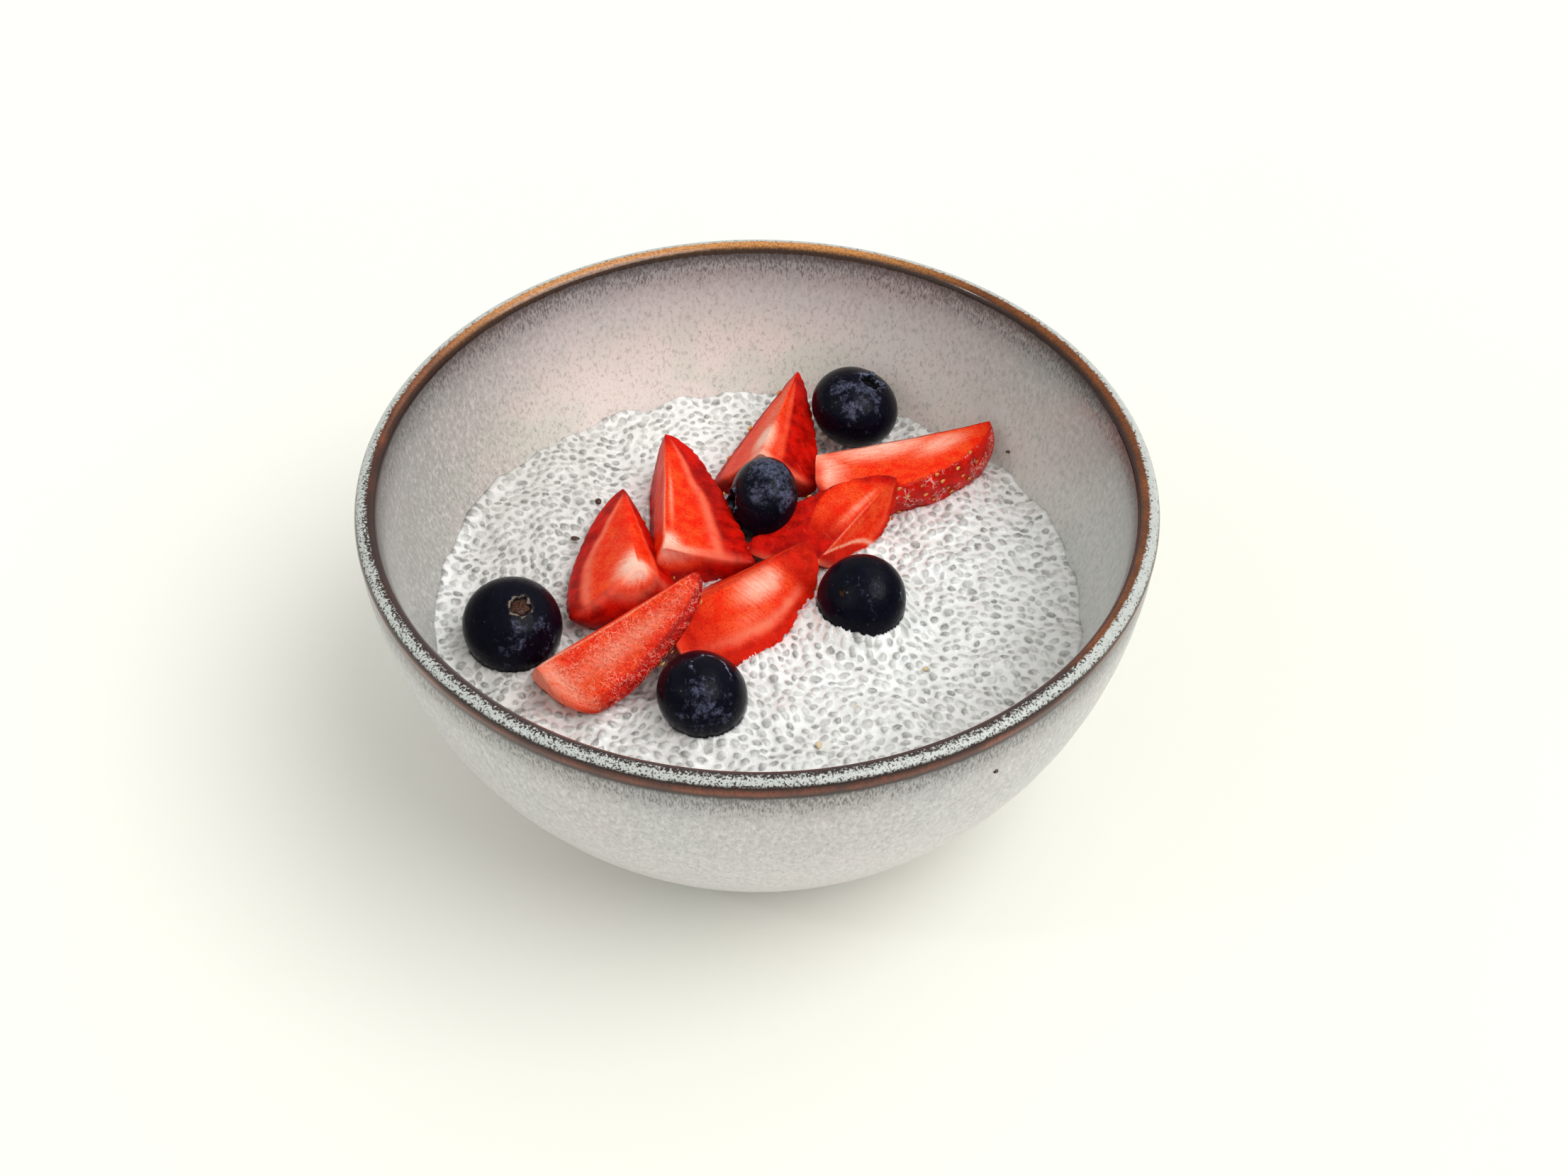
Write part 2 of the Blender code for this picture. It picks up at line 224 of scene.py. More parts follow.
# How a cut face looks, over t, 0 at the hull end and 1 at the tip, and across, 0 at the core
# and 1 at the skin. The pale ring leaves the hull end at ring and meets the core at t ring_end.
# Lean moves it outwards as t grows. Line is how clear the ring is, deep how deep the red is
# outside it, dull how dark, from the flesh's own darker red and from painted shade,
# and tip_from the t from which the tip is all red. Patches of paler flesh are t, across, spread
# along, spread across and strength. Coarse is how rough the flesh is, and lengthwise is 1 where
# its strands run along the wedge. A seam is the t of a pale line at the core and at the skin,
# with deep red on its hull side. Base is how deep the red is all over, rim how dark a line is
# along the core, painted shade in part, and foot the t to which deep red reaches from the hull
# end, painted there in part as shade.
FACE_VALUES = {
    "ring": 0.6, "ring_end": 1.2, "line": 0.5, "deep": 0.8, "dull": 0.1, "tip_from": 0.9,
    "patches": ((0.0, 0.0, 0.2, 0.2, 0.9),), "coarse": 0.25, "lengthwise": 0.0, "seam": None,
    "base": 0.0, "rim": 0.0, "lean": 0.0, "foot": 0.0,
}
Face = namedtuple("Face", FACE_VALUES, defaults=FACE_VALUES.values())
FACES = {
    1: (Face(0.66, 0.92, 0.65, 1.0, 0.1, 0.88,
             ((0.0, 0.0, 0.2, 0.29, 1.5), (0.3, 0.22, 0.2, 0.1, 0.15)), base=0.05),
        Face(0.4, 1.1, 0.2, 0.85, 0.0, 0.85, ((0.0, 0.1, 0.1, 0.3, 1.0),), base=0.1)),
    2: (Face(0.42, 9.0, 0.0, 0.75, 0.05, 0.92, ((0.4, 0.0, 0.55, 0.08, 0.5),), 0.4),
        Face(0.6, 1.2, 0.55, 0.95, 0.1, 0.9,
             ((0.03, 0.05, 0.1, 0.14, 1.2), (0.0, 0.4, 0.05, 0.4, 0.7), (0.45, 0.1, 0.3, 0.04, 0.5)))),
    3: (Face(0.75, 1.5, 0.15, 1.0, 0.25, 0.95,
             ((0.22, 0.1, 0.16, 0.18, 1.2), (0.6, 0.2, 0.5, 0.4, 0.35)), 0.45, base=0.05),
        Face(0.25, 1.15, 0.2, 0.9, 0.05, 0.85, ((0.2, 0.0, 0.2, 0.14, 0.8),), base=0.2)),
    4: (Face(1.3, 2.0, 0.0, 0.6, 0.0, 0.95,
             ((0.36, 0.12, 0.3, 0.24, 0.8), (0.04, 0.5, 0.13, 0.5, 0.8), (0.7, 0.32, 0.18, 0.26, 0.66)),
             0.35, 1.0, rim=0.9),
        Face()),
    5: (Face(0.0, 9.0, 0.0, 1.0, 0.1, 0.9,
             ((0.6, 0.13, 0.3, 0.1, 0.5), (0.65, 0.5, 0.25, 0.15, 0.15)), 0.4, lean=1.1, foot=0.8),
        Face(0.8, 1.3, 0.1, 0.6, 0.0, 0.9,
             ((0.45, 0.0, 0.5, 0.07, 0.5), (0.5, 0.22, 0.4, 0.05, 0.2)), seam=(0.12, 0.2))),
    6: (Face(0.66, 2.2, 0.75, 0.62, 0.0, 0.74,
             ((0.58, 0.24, 0.2, 0.2, 0.82), (0.36, 0.5, 0.2, 0.14, 0.3)), 0.35,
             base=0.12, rim=0.45, foot=0.44),
        Face(base=0.3)),
    7: (Face(0.7, 1.5, 0.0, 0.8, 0.1, 0.95,
             ((0.0, 0.4, 0.12, 0.6, 0.7), (0.4, 0.4, 0.5, 0.22, 0.42), (0.5, 0.0, 0.6, 0.06, 0.5)), 1.0),
        Face(base=0.3)),
}
# How each hull end looks: place and strength of its pale arc, spread and strength of its pale
# core, where the deep red starts, and strength of the pale lines to its corners
HULLS = {
    1: (0.4, 0.3, 0.22, 1.5, 0.16, 0.25),
    2: (0.2, 0.3, 0.32, 1.1, 0.32, 0.5),
    5: (0.1, 0.5, 0.1, 0.8, 0.0, 0.5),
    6: (0.66, 0.6, 0.2, 0.5, 0.75, 0.1),
    7: (0.5, 0.0, 0.9, 0.5, 0.7, 0.0),
}
USUAL_HULL = (0.4, 0.4, 0.25, 0.95, 0.5, 0.5)


def rgb(red, green, blue):
    """A colour given as it looks on a screen, 0 to 255, as the linear values that nodes take."""
    shares = [c / 255.0 for c in (red, green, blue)]
    linear = [s / 12.92 if s <= 0.04045 else ((s + 0.055) / 1.055) ** 2.4 for s in shares]
    return (*linear, 1.0)


class Look:
    """A material, with short calls that add nodes to it and return their output sockets."""

    def __init__(self, name):
        self.material = bpy.data.materials.new(name)
        self.material.use_nodes = True
        self.tree = self.material.node_tree
        self.shader = self.tree.nodes["Principled BSDF"]
        coordinates = self.tree.nodes.new("ShaderNodeTexCoord").outputs["Object"]
        self.place = self.stretched((1.0 / MM,) * 3, coordinates)

    def feed(self, socket, value):
        if isinstance(value, bpy.types.NodeSocket):
            self.tree.links.new(value, socket)
        else:
            socket.default_value = value

    def stretched(self, factors, vector=None):
        node = self.tree.nodes.new("ShaderNodeVectorMath")
        node.operation = "MULTIPLY"
        self.feed(node.inputs[0], vector or self.place)
        node.inputs[1].default_value = factors
        return node.outputs["Vector"]

    def joined(self, x, y):
        node = self.tree.nodes.new("ShaderNodeCombineXYZ")
        for socket, value in zip(node.inputs, (x, y)):
            self.feed(socket, value)
        return node.outputs["Vector"]

    def value(self, name):
        """A number that the mesh carries at each point."""
        node = self.tree.nodes.new("ShaderNodeAttribute")
        node.attribute_name = name
        return node.outputs["Fac"]

    def maths(self, way, *values):
        node = self.tree.nodes.new("ShaderNodeMath")
        node.operation = way
        for socket, value in zip(node.inputs, values):
            self.feed(socket, value)
        return node.outputs["Value"]

    def times(self, first, second):
        return self.maths("MULTIPLY", first, second)

    def plus(self, first, second):
        return self.maths("ADD", first, second)

    def scaled(self, value, factor, start):
        """The start, and a factor of the value on top."""
        return self.maths("MULTIPLY_ADD", value, factor, start)

    def off(self, value, middle):
        """How far a value is from a middle, on either side."""
        return self.maths("ABSOLUTE", self.plus(value, -middle))

    def fade(self, value, start, end, low=0.0, high=1.0):
        """Goes smoothly from low to high as the value goes from start to end."""
        node = self.tree.nodes.new("ShaderNodeMapRange")
        node.interpolation_type = "SMOOTHSTEP"
        for socket, number in zip(node.inputs, (value, start, end, low, high)):
            self.feed(socket, number)
        return node.outputs["Result"]

    def mix(self, share, first, second, way="MIX"):
        """Goes from one colour to another: each is a socket, or a colour as rgb takes it."""
        node = self.tree.nodes.new("ShaderNodeMix")
        node.data_type = "RGBA"
        node.blend_type = way
        self.feed(node.inputs["Factor"], share)
        for index, colour in ((6, first), (7, second)):
            self.feed(node.inputs[index], rgb(*colour) if isinstance(colour, tuple) else colour)
        return node.outputs[2]

    def layered(self, colour, *layers):
        """Lays more colours over a first: each layer is the share that it covers, and its colour."""
        for share, over in layers:
            colour = self.mix(share, colour, over)
        return colour

    def noise(self, size, detail=2.0, roughness=0.5, place=None, stretch=None):
        """Cloudy noise from 0 to 1 with features about as large as the size."""
        node = self.tree.nodes.new("ShaderNodeTexNoise")
        vector = place or self.place
        if stretch:
            vector = self.stretched(stretch, vector)
        self.feed(node.inputs["Vector"], vector)
        node.inputs["Scale"].default_value = 1.0 / size
        node.inputs["Detail"].default_value = detail
        node.inputs["Roughness"].default_value = roughness
        return node.outputs["Fac"]

    def cells(self, size):
        """Distance to the nearest of scattered points about a size apart."""
        node = self.tree.nodes.new("ShaderNodeTexVoronoi")
        self.feed(node.inputs["Vector"], self.place)
        node.inputs["Scale"].default_value = 1.0 / size
        return node.outputs["Distance"]

    def bump(self, height, depth, strength=1.0):
        """Relief up to a depth in millimetres."""
        node = self.tree.nodes.new("ShaderNodeBump")
        self.feed(node.inputs["Strength"], strength)
        node.inputs["Distance"].default_value = depth * MM
        self.feed(node.inputs["Height"], height)
        return node.outputs["Normal"]

    def finish(self, **inputs):
        """Feeds the shader: each name is a socket's, with _ for a space."""
        for name, value in inputs.items():
            self.feed(self.shader.inputs[name.replace("_", " ")], value)
        return self.material


def band(look, place, ends, soft=0.12):
    """Share of a band between two ends."""
    half = abs(ends[1] - ends[0]) / 2
    return look.fade(look.off(place, sum(ends) / 2), half + soft, half - soft)


def glaze_body(look, grain):
    """The grey of the glaze: clouds and fine specks, with painted light and painted shade where the mesh
    says.
    """
    dark = look.value("dark")
    cloud = look.fade(look.noise(24.0, 3.0), 0.35, 0.65)
    green = look.fade(look.noise(13.0, 3.0), 0.42, 0.62)
    pale = look.noise(0.9, 3.0, 0.65, stretch=(1.0, 1.0, 0.6))
    return look.layered(
        look.mix(cloud, (207, 206, 207), (213, 206, 206)),
        # Painted light: a paler, pinker far inner wall, above the pudding
        (look.value("warm"), look.mix(green, (255, 242, 233), (240, 237, 224))),
        # Painted shade: more specks and a darker, greener grey where the mesh carries dark
        (look.fade(grain, look.scaled(dark, -0.14, 0.54), 0.78, 0.0, 0.6), (116, 112, 108)),
        (look.times(dark, 0.5), (122, 132, 123)),
        # Painted light: a lighter, greener right inner wall, against its shade and the red light thrown on
        # it
        (look.times(look.value("cool"), 0.4), (176, 200, 190)),
        (look.fade(pale, 0.46, 0.72, 0.0, 0.55), (230, 226, 225)),
        (look.fade(pale, 0.5, 0.3, 0.0, 0.45), (164, 162, 160)),
    )


def glaze_streaks(look, body, ragged):
    """Dark streaks that run down from the bands, inside and outside."""
    low, high = OUTER_BAND[0], INNER_BAND[1]
    under_lip = look.times(look.fade(ragged, STREAKS_INSIDE, high), look.fade(ragged, STREAKS_OUTSIDE, low))
    closest = look.times(look.fade(ragged, high + 2.6, high), look.fade(ragged, low - 2.2, low))
    streak = look.noise(0.34, 3.0, 0.6, stretch=RUN)
    level = look.scaled(under_lip, -0.3, 0.76)
    streaked = look.fade(look.maths("SUBTRACT", streak, level), -0.08, 0.12)
    return look.layered(
        body,
        (look.times(streaked, 0.68), (58, 54, 52)),
        (look.times(under_lip, 0.42), (98, 94, 91)),
        (look.times(closest, 0.6), (58, 54, 52)),
    )


def glaze_lip(look, arc, gold, fleck):
    """Pale glaze on top of the lip, with dark flecks that gather at its two edges."""
    level = look.fade(look.off(arc, LIP_MIDDLE), 0.1, 1.25, 0.56, 0.43)
    # Fewer flecks towards the far and right side
    level = look.scaled(gold, 0.1, look.plus(level, -0.01))
    lip = look.mix(look.noise(1.6, 3.0), (176, 180, 174), (206, 210, 206))
    flecked = look.fade(look.maths("SUBTRACT", fleck, level), -0.02, 0.07)
    return look.mix(flecked, lip, (50, 38, 33))


def glaze_browns(look, gold, near):
    """The browns of the inner and the outer band: golden with painted light at the far and right side, with
    a painted highlight, and the inner band darkened with painted shade at the near side.
    """
    copper = look.fade(look.noise(9.0, 4.0, 0.6), 0.3, 0.7)
    golden = look.mix(copper, (104, 52, 8), (150, 84, 22))
    # Painted highlight on the far rim
    golden = look.mix(look.value("bright"), golden, (214, 146, 80))
    brushed = look.fade(look.noise(0.5, 3.0, 0.6, stretch=RUN), 0.4, 0.62, 0.0, 0.45)
    reddish = look.mix(copper, (64, 20, 6), (126, 58, 28))
    brown = look.layered(reddish, (gold, golden), (brushed, (48, 16, 6)))
    # Painted shade: the inner band darker at the near side
    return look.mix(look.times(near, 0.85), brown, (40, 27, 24)), brown


def glaze_look():
    """Reactive glaze: grey with pinkish clouds and fine specks, brown bands at the lip."""
    look = Look("speckled glaze")
    arc, gold = look.value("arc"), look.value("gold")
    # near: the near side, where the inner band gets painted shade
    near = look.fade(gold, 0.5, 0.0)
    grain = look.noise(0.5, 3.0, 0.65, stretch=(1.0, 1.0, 0.5))
    fleck = look.noise(0.42, 3.0, 0.65)
    wander = look.noise(2.2, 3.0, 0.7)
    ragged = look.scaled(wander, 1.6, look.plus(arc, -0.8))
    body = glaze_streaks(look, glaze_body(look, grain), ragged)
    on_lip = band(look, ragged, (OUTER_BAND[1] - 0.1, INNER_BAND[0] + 0.5))
    colour = look.mix(on_lip, body, glaze_lip(look, arc, gold, fleck))

    place = look.scaled(wander, 0.45, look.plus(arc, -0.22))
    place = look.scaled(fleck, look.scaled(near, 0.2, 0.8), place)
    place = look.scaled(near, -0.4, look.plus(place, -0.4))
    below = look.maths("MINIMUM", look.plus(place, -OUTER_BAND[1]), 0.0)
    drawn = look.scaled(look.times(below, near), -BAND_DRAWN_DOWN, place)
    inner_brown, outer_brown = glaze_browns(look, gold, near)
    middle, half = sum(OUTER_BAND) / 2, (OUTER_BAND[1] - OUTER_BAND[0]) / 2
    bands = (
        (INNER_BAND, place, inner_brown, look.fade(place, 0.8, 2.1)),
        (OUTER_BAND, drawn, outer_brown, look.fade(look.off(drawn, middle), 0.15 * half, 0.85 * half)),
    )
    banded = 0.0
    for ends, at, brown, border in bands:
        share = band(look, at, ends, BAND_SOFTNESS)
        colour = look.mix(share, colour, look.mix(look.times(border, 0.95), brown, (30, 11, 4)))
        banded = look.maths("MAXIMUM", share, banded)
    relief = look.plus(look.noise(3.0, 2.0), look.times(grain, 0.25))
    return look.finish(Base_Color=colour, Roughness=look.scaled(banded, -0.16, 0.32),
                       Normal=look.bump(relief, 0.05), Specular_IOR_Level=0.3,
                       Coat_Weight=look.scaled(banded, 0.15, 0.25), Coat_Roughness=0.12)


def pudding_look():
    """Milky gel round grey swollen seeds, stained pink by the fruit."""
    look = Look("chia pudding")
    shade = look.value("shade")
    edge = look.scaled(look.noise(0.6, 4.0, 0.65), 0.8, look.plus(look.value("seed"), -0.4))
    body = look.fade(edge, 1.2, 0.7)
    rim = look.times(look.fade(edge, 0.3, 0.8), body)
    cloud = look.fade(look.noise(3.0, 3.0, 0.6), 0.35, 0.7)
    milk = look.layered(
        look.mix(cloud, (244, 247, 244), (253, 254, 251)),
        (look.fade(look.cells(1.9), 0.55, 0.15, 0.0, 0.15), (186, 188, 182)),
        # Painted shade on the milk, where the mesh carries milk_shade
        (look.times(look.value("milk_shade"), 0.6), (208, 205, 200)),
    )
    grey = look.layered(
        look.mix(shade, (214, 216, 211), (140, 140, 136)),
        (look.fade(look.noise(0.45, 3.0, 0.65), 0.42, 0.68, 0.0, 0.6), (214, 215, 209)),
        (look.times(look.times(rim, shade), 0.5), (98, 98, 94)),
    )
    colour = look.mix(look.times(body, look.value("clear")), milk, grey)
    colour = look.mix(look.times(look.value("pink"), 0.5), colour, (240, 180, 188), "MULTIPLY")
    relief = look.plus(look.noise(0.9, 4.0, 0.62), look.times(body, 0.3))
    return look.finish(Base_Color=colour, Roughness=0.3, Normal=look.bump(relief, 0.28),
                       Subsurface_Weight=0.12, Subsurface_Radius=(1.0, 0.9, 0.8),
                       Subsurface_Scale=0.8 * MM, Coat_Weight=0.6, Coat_Roughness=0.1)


def flesh_tones(look, cloud, vessel, mottle):
    """Orange-red inside, deep red towards the skin, and the pale core and vessels."""
    fresh = look.mix(look.fade(cloud, 0.35, 0.68), (248, 40, 8), (255, 82, 32))
    fresh = look.mix(look.fade(mottle, 0.46, 0.68, 0.0, 0.85), fresh, (208, 14, 4))
    outer = look.mix(look.fade(cloud, 0.35, 0.65), (158, 5, 2), (216, 20, 8))
    outer = look.mix(look.fade(vessel, 0.58, 0.76, 0.0, 0.55), outer, (236, 76, 56))
    deep = look.scaled(look.plus(cloud, -0.5), 0.5, look.value("deep"))
    fibre = look.fade(vessel, 0.36, 0.62, 0.72, 1.0)
    grain = look.fade(mottle, 0.78, 0.52, 0.35, 1.0)
    pale = look.times(look.times(look.value("pale"), fibre), grain)
    return look.layered(
        look.mix(look.fade(deep, 0.05, 0.85), fresh, outer),
        (look.fade(pale, 0.0, 0.45), (252, 106, 68)),
        (look.fade(pale, 0.12, 0.98), (255, 208, 186)),
        (look.times(look.value("ring"), look.fade(cloud, 0.25, 0.5, 0.6, 1.0)), (246, 134, 104)),
        # Darker flesh where the mesh carries dull: its own darker red, and painted shade
        (look.times(look.value("dull"), 0.75), (96, 6, 8)),
    )


def flesh_gloss(look, colour, curls, rough):
    """Painted shade and painted highlights along curled lines on rough flesh, and small bright dots on all
    of it.
    """
    shade = look.times(look.fade(look.off(curls, 0.44), 0.035, 0.01), rough)
    line = look.times(look.fade(look.off(curls, 0.52), 0.03, 0.01), rough)
    wet_glint = look.times(line, look.fade(look.noise(2.2, 2.0), 0.4, 0.6))
    dots = look.fade(look.noise(0.3, 1.0), 0.62, 0.75)
    return look.layered(
        colour,
        (look.times(shade, 0.45), (150, 14, 8)),
        (look.times(wet_glint, 0.6), (255, 184, 160)),
        (look.times(dots, look.scaled(rough, 0.3, 0.12)), (255, 136, 96)),
    )


def flesh_look():
    """Cut strawberry: the mesh carries where it is pale, deep red, darker with painted shade in part, or
    rough.
    """
    look = Look("strawberry flesh")
    strand = look.joined(look.value("strand"), look.times(look.value("across"), 2.0))
    vessel = look.noise(0.55, 3.0, 0.6, place=strand)
    mottle = look.noise(0.42, 3.0, 0.7)
    curls = look.noise(0.8, 3.0, 0.55)
    coarse = look.value("coarse")
    colour = flesh_tones(look, look.noise(3.0, 3.0, 0.6), vessel, mottle)
    colour = flesh_gloss(look, colour, curls, look.fade(coarse, 0.35, 1.0))
    relief = look.plus(mottle, look.times(curls, look.times(coarse, 2.5)))
    fine = look.bump(relief, 0.25, look.scaled(coarse, 0.6, 0.35))
    return look.finish(Base_Color=colour, Roughness=0.3, Normal=fine, Specular_IOR_Level=0.03,
                       Subsurface_Weight=0.08, Subsurface_Radius=(1.0, 0.2, 0.1),
                       Subsurface_Scale=1.0 * MM, Coat_Weight=0.06, Coat_Roughness=0.12)


def skin_look():
    """Strawberry skin: moist deep red, with curls of painted highlight on its film."""
    look = Look("strawberry skin")
    fine = look.noise(0.9, 3.0, 0.6)
    line = look.fade(look.off(look.noise(1.0, 3.0, 0.55), 0.5), 0.024, 0.009)
    wet_glint = look.times(line, look.fade(look.noise(3.5, 2.0), 0.47, 0.58))
    colour = look.layered(
        look.mix(look.fade(look.noise(4.0, 3.0), 0.3, 0.7), (168, 6, 3), (226, 26, 9)),
        (look.fade(fine, 0.55, 0.75, 0.0, 0.35), (244, 70, 48)),
        # Painted highlights: bright curls of reflection on the skin
        (look.times(wet_glint, 0.9), (255, 220, 208)),
    )
    return look.finish(Base_Color=colour, Roughness=0.2, Normal=look.bump(fine, 0.35),
                       Specular_IOR_Level=0.05, Coat_Weight=0.12, Coat_Roughness=0.08)


def achene_look():
    """The small dry fruits in the strawberry's skin: straw yellow."""
    look = Look("achenes")
    tint = look.noise(1.2, 2.0)
    colour = look.mix(look.fade(tint, 0.35, 0.65), (196, 96, 30), (226, 164, 80))
    return look.finish(Base_Color=colour, Roughness=0.35, Normal=look.bump(look.noise(0.3), 0.03))


def dark_seed_look():
    """Dry chia seed: black-brown with a faint marbling."""
    look = Look("dark seed")
    marble = look.noise(0.5, 3.0)
    colour = look.mix(look.fade(marble, 0.4, 0.65), (30, 14, 10), (96, 58, 40))
    return look.finish(Base_Color=colour, Roughness=0.3, Normal=look.bump(marble, 0.03))


def pale_seed_look():
    """Unripe seed: cream."""
    look = Look("pale seed")
    tint = look.noise(0.6, 2.0)
    colour = look.mix(look.fade(tint, 0.35, 0.65), (206, 182, 138), (232, 218, 188))
    return look.finish(Base_Color=colour, Roughness=0.4, Normal=look.bump(tint, 0.03))


def blueberry_look():
    """Blue-black skin under patches of pale bloom, with a dry brown crown."""
    look = Look("blueberry skin")
    patch = look.noise(4.2, 4.0, 0.62)
    fleck = look.noise(0.9, 4.0, 0.7)
    fine = look.noise(0.35, 3.0, 0.7)
    is_dry = look.value("dry")
    worn = look.scaled(fleck, 0.6, look.plus(patch, look.value("bloom")))
    cover = look.times(look.fade(worn, 1.1, 1.34), look.fade(fine, 0.35, 0.6, 0.35, 1.0))
    scratch = look.noise(0.5, 2.0, 0.5, stretch=(1.0, 0.12, 1.0))
    away = look.scaled(look.noise(0.75, 4.0, 0.7), 1.8, look.plus(look.value("away"), -0.9))
    inside = look.times(look.fade(away, 0.0, -0.5), look.fade(is_dry, -1.0, 0.0))
    husk = look.mix(look.fade(fine, 0.35, 0.65), (22, 12, 9), (96, 58, 40))
    husk = look.mix(look.times(is_dry, look.fade(away, -0.3, -1.1)), (3, 3, 6), husk)
    at_edge = look.times(look.fade(look.off(away, 0.0), 0.38, 0.1), look.value("pale"))
    broken = look.fade(look.noise(1.2, 3.0), 0.44, 0.56, 0.05, 1.0)
    lobe = look.mix(look.fade(is_dry, 0.0, 1.0), (112, 118, 138), (136, 122, 108))
    colour = look.layered(
        look.mix(look.noise(2.0), (3, 3, 9), (13, 14, 30)),
        (cover, (88, 93, 116)),
        (look.fade(scratch, 0.66, 0.76, 0.0, 0.16), (120, 120, 132)),
        (inside, husk),
        (look.times(at_edge, broken), lobe),
    )
    relief = look.plus(patch, look.times(fleck, 0.5))
    return look.finish(Base_Color=colour, Roughness=look.scaled(cover, 0.25, 0.2),
                       Normal=look.bump(relief, 0.2), Specular_IOR_Level=0.05,
                       Coat_Weight=0.05, Coat_Roughness=0.08)


def floor_look():
    """Plain off-white table."""
    look = Look("pale table")
    colour = look.mix(look.noise(120.0), (245, 245, 235), (245, 245, 237))
    return look.finish(Base_Color=colour, Roughness=0.9, Specular_IOR_Level=0.0)


def new_piece(name, points, faces, looks, slots=None):
    """A smooth mesh object from points in millimetres; slots gives each face's material."""
    mesh = bpy.data.meshes.new(name)
    mesh.from_pydata([tuple(p) for p in np.asarray(points) * MM], [], faces)
    for look in looks:
        mesh.materials.append(look)
    if slots is not None:
        mesh.polygons.foreach_set("material_index", slots)
    mesh.shade_smooth()
    mesh.update()
    obj = bpy.data.objects.new(name, mesh)
    bpy.context.scene.collection.objects.link(obj)
    return obj


def carry(obj, **fields):
    """Stores a number at each point of a mesh, under each name."""
    for name, values in fields.items():
        attribute = obj.data.attributes.new(name, "FLOAT", "POINT")
        attribute.data.foreach_set("value", np.asarray(values, np.float32))


def smooth(value, start, end):
    share = np.clip((value - start) / (end - start), 0.0, 1.0)
    return share * share * (3.0 - 2.0 * share)


def noise_at(points, size, shift=0.0):
    """Noise from -1 to 1 at each point."""
    offset = Vector((shift, 2.0 * shift, -shift))
    return np.array([noise.noise(Vector(p) / size + offset) for p in points])


def search_tree(points):
    """A tree that finds the nearest of some points, given in plan or in space."""
    tree = kdtree.KDTree(len(points))
    for index, point in enumerate(points):
        tree.insert((*point, 0.0)[:3], index)
    tree.balance()
    return tree


def upright_to(way):
    """The turn that takes straight up to a way, as a matrix."""
    up = Vector((0, 0, 1))
    return np.array(up.rotation_difference(Vector(way).normalized()).to_matrix())


def outer_radius(z):
    return RIM_RADIUS * math.sqrt(1.0 - ((BOWL_HEIGHT - z) / BODY_DEPTH) ** 2)


def inner_radius(z):
    return outer_radius(z) - WALL


def lip_points(steps):
    half = LIP_THICKNESS / 2
    centre = RIM_RADIUS - half
    top = BOWL_HEIGHT - half
    angles = [math.pi * i / steps for i in range(steps + 1)]
    return [(centre + half * math.cos(a), top + half * math.sin(a)) for a in angles]


def thrown_radius(z):
    """The outer radius with the faint waves that turning leaves on it, always inwards."""
    wave = 0.5 + 0.5 * math.sin(2 * math.pi * z / THROWING_PITCH + math.sin(z / 3.0))
    return outer_radius(z) - THROWING_DEPTH * wave


def wall_heights(start, end):
    steps = int(abs(end - start) / WALL_STEP)
    return [start + (end - start) * i / steps for i in range(steps + 1)]


def bowl_profile():
    """Half section from under the foot round to the floor, and distances over the lip."""
    inner, outer, edge, top = FOOT_RADIUS - FOOT_WIDTH, FOOT_RADIUS, FOOT_EDGE, FOOT_HEIGHT
    profile = [(0.0, top), (inner - edge, top), (inner, top - edge), (inner, edge)]
    profile += [(inner + edge, 0.0), (outer - edge, 0.0), (outer, edge)]
    profile += [(outer, top - FOOT_FLARE[1]), (outer + FOOT_FLARE[0], top)]
    lip_foot = BOWL_HEIGHT - LIP_THICKNESS
    profile += [(thrown_radius(z), z) for z in wall_heights(OUTER_WALL_FROM, lip_foot)]
    profile += lip_points(LIP_STEPS)
    profile += [(inner_radius(z), z) for z in wall_heights(lip_foot, INNER_WALL_FROM)]
    profile += [(FLOOR_RADIUS, FLOOR_TOP), (0.0, FLOOR_TOP)]
    lengths = [0.0]
    for (r1, z1), (r2, z2) in zip(profile, profile[1:]):
        lengths.append(lengths[-1] + math.hypot(r2 - r1, z2 - z1))
    highest = max(range(len(profile)), key=lambda i: profile[i][1])
    return profile, [length - lengths[highest] for length in lengths]


def turned(profile, sides):
    """Points and faces of a profile turned about Z, and each point's place in the profile."""
    points, rows, rings = [], [], []
    for row, (radius, z) in enumerate(profile):
        count = sides if radius > 0.0 else 1
        rings.append(list(range(len(points), len(points) + count)))
        for i in range(count):
            angle = 2 * math.pi * i / sides
            points.append((radius * math.cos(angle), radius * math.sin(angle), z))
            rows.append(row)
    faces = []
    for low, high in zip(rings, rings[1:]):
        for i in range(sides):
            j = (i + 1) % sides
            corners = [low[i % len(low)], low[j % len(low)], high[j % len(high)], high[i % len(high)]]
            faces.append(tuple(dict.fromkeys(corners)))
    return points, faces, rows


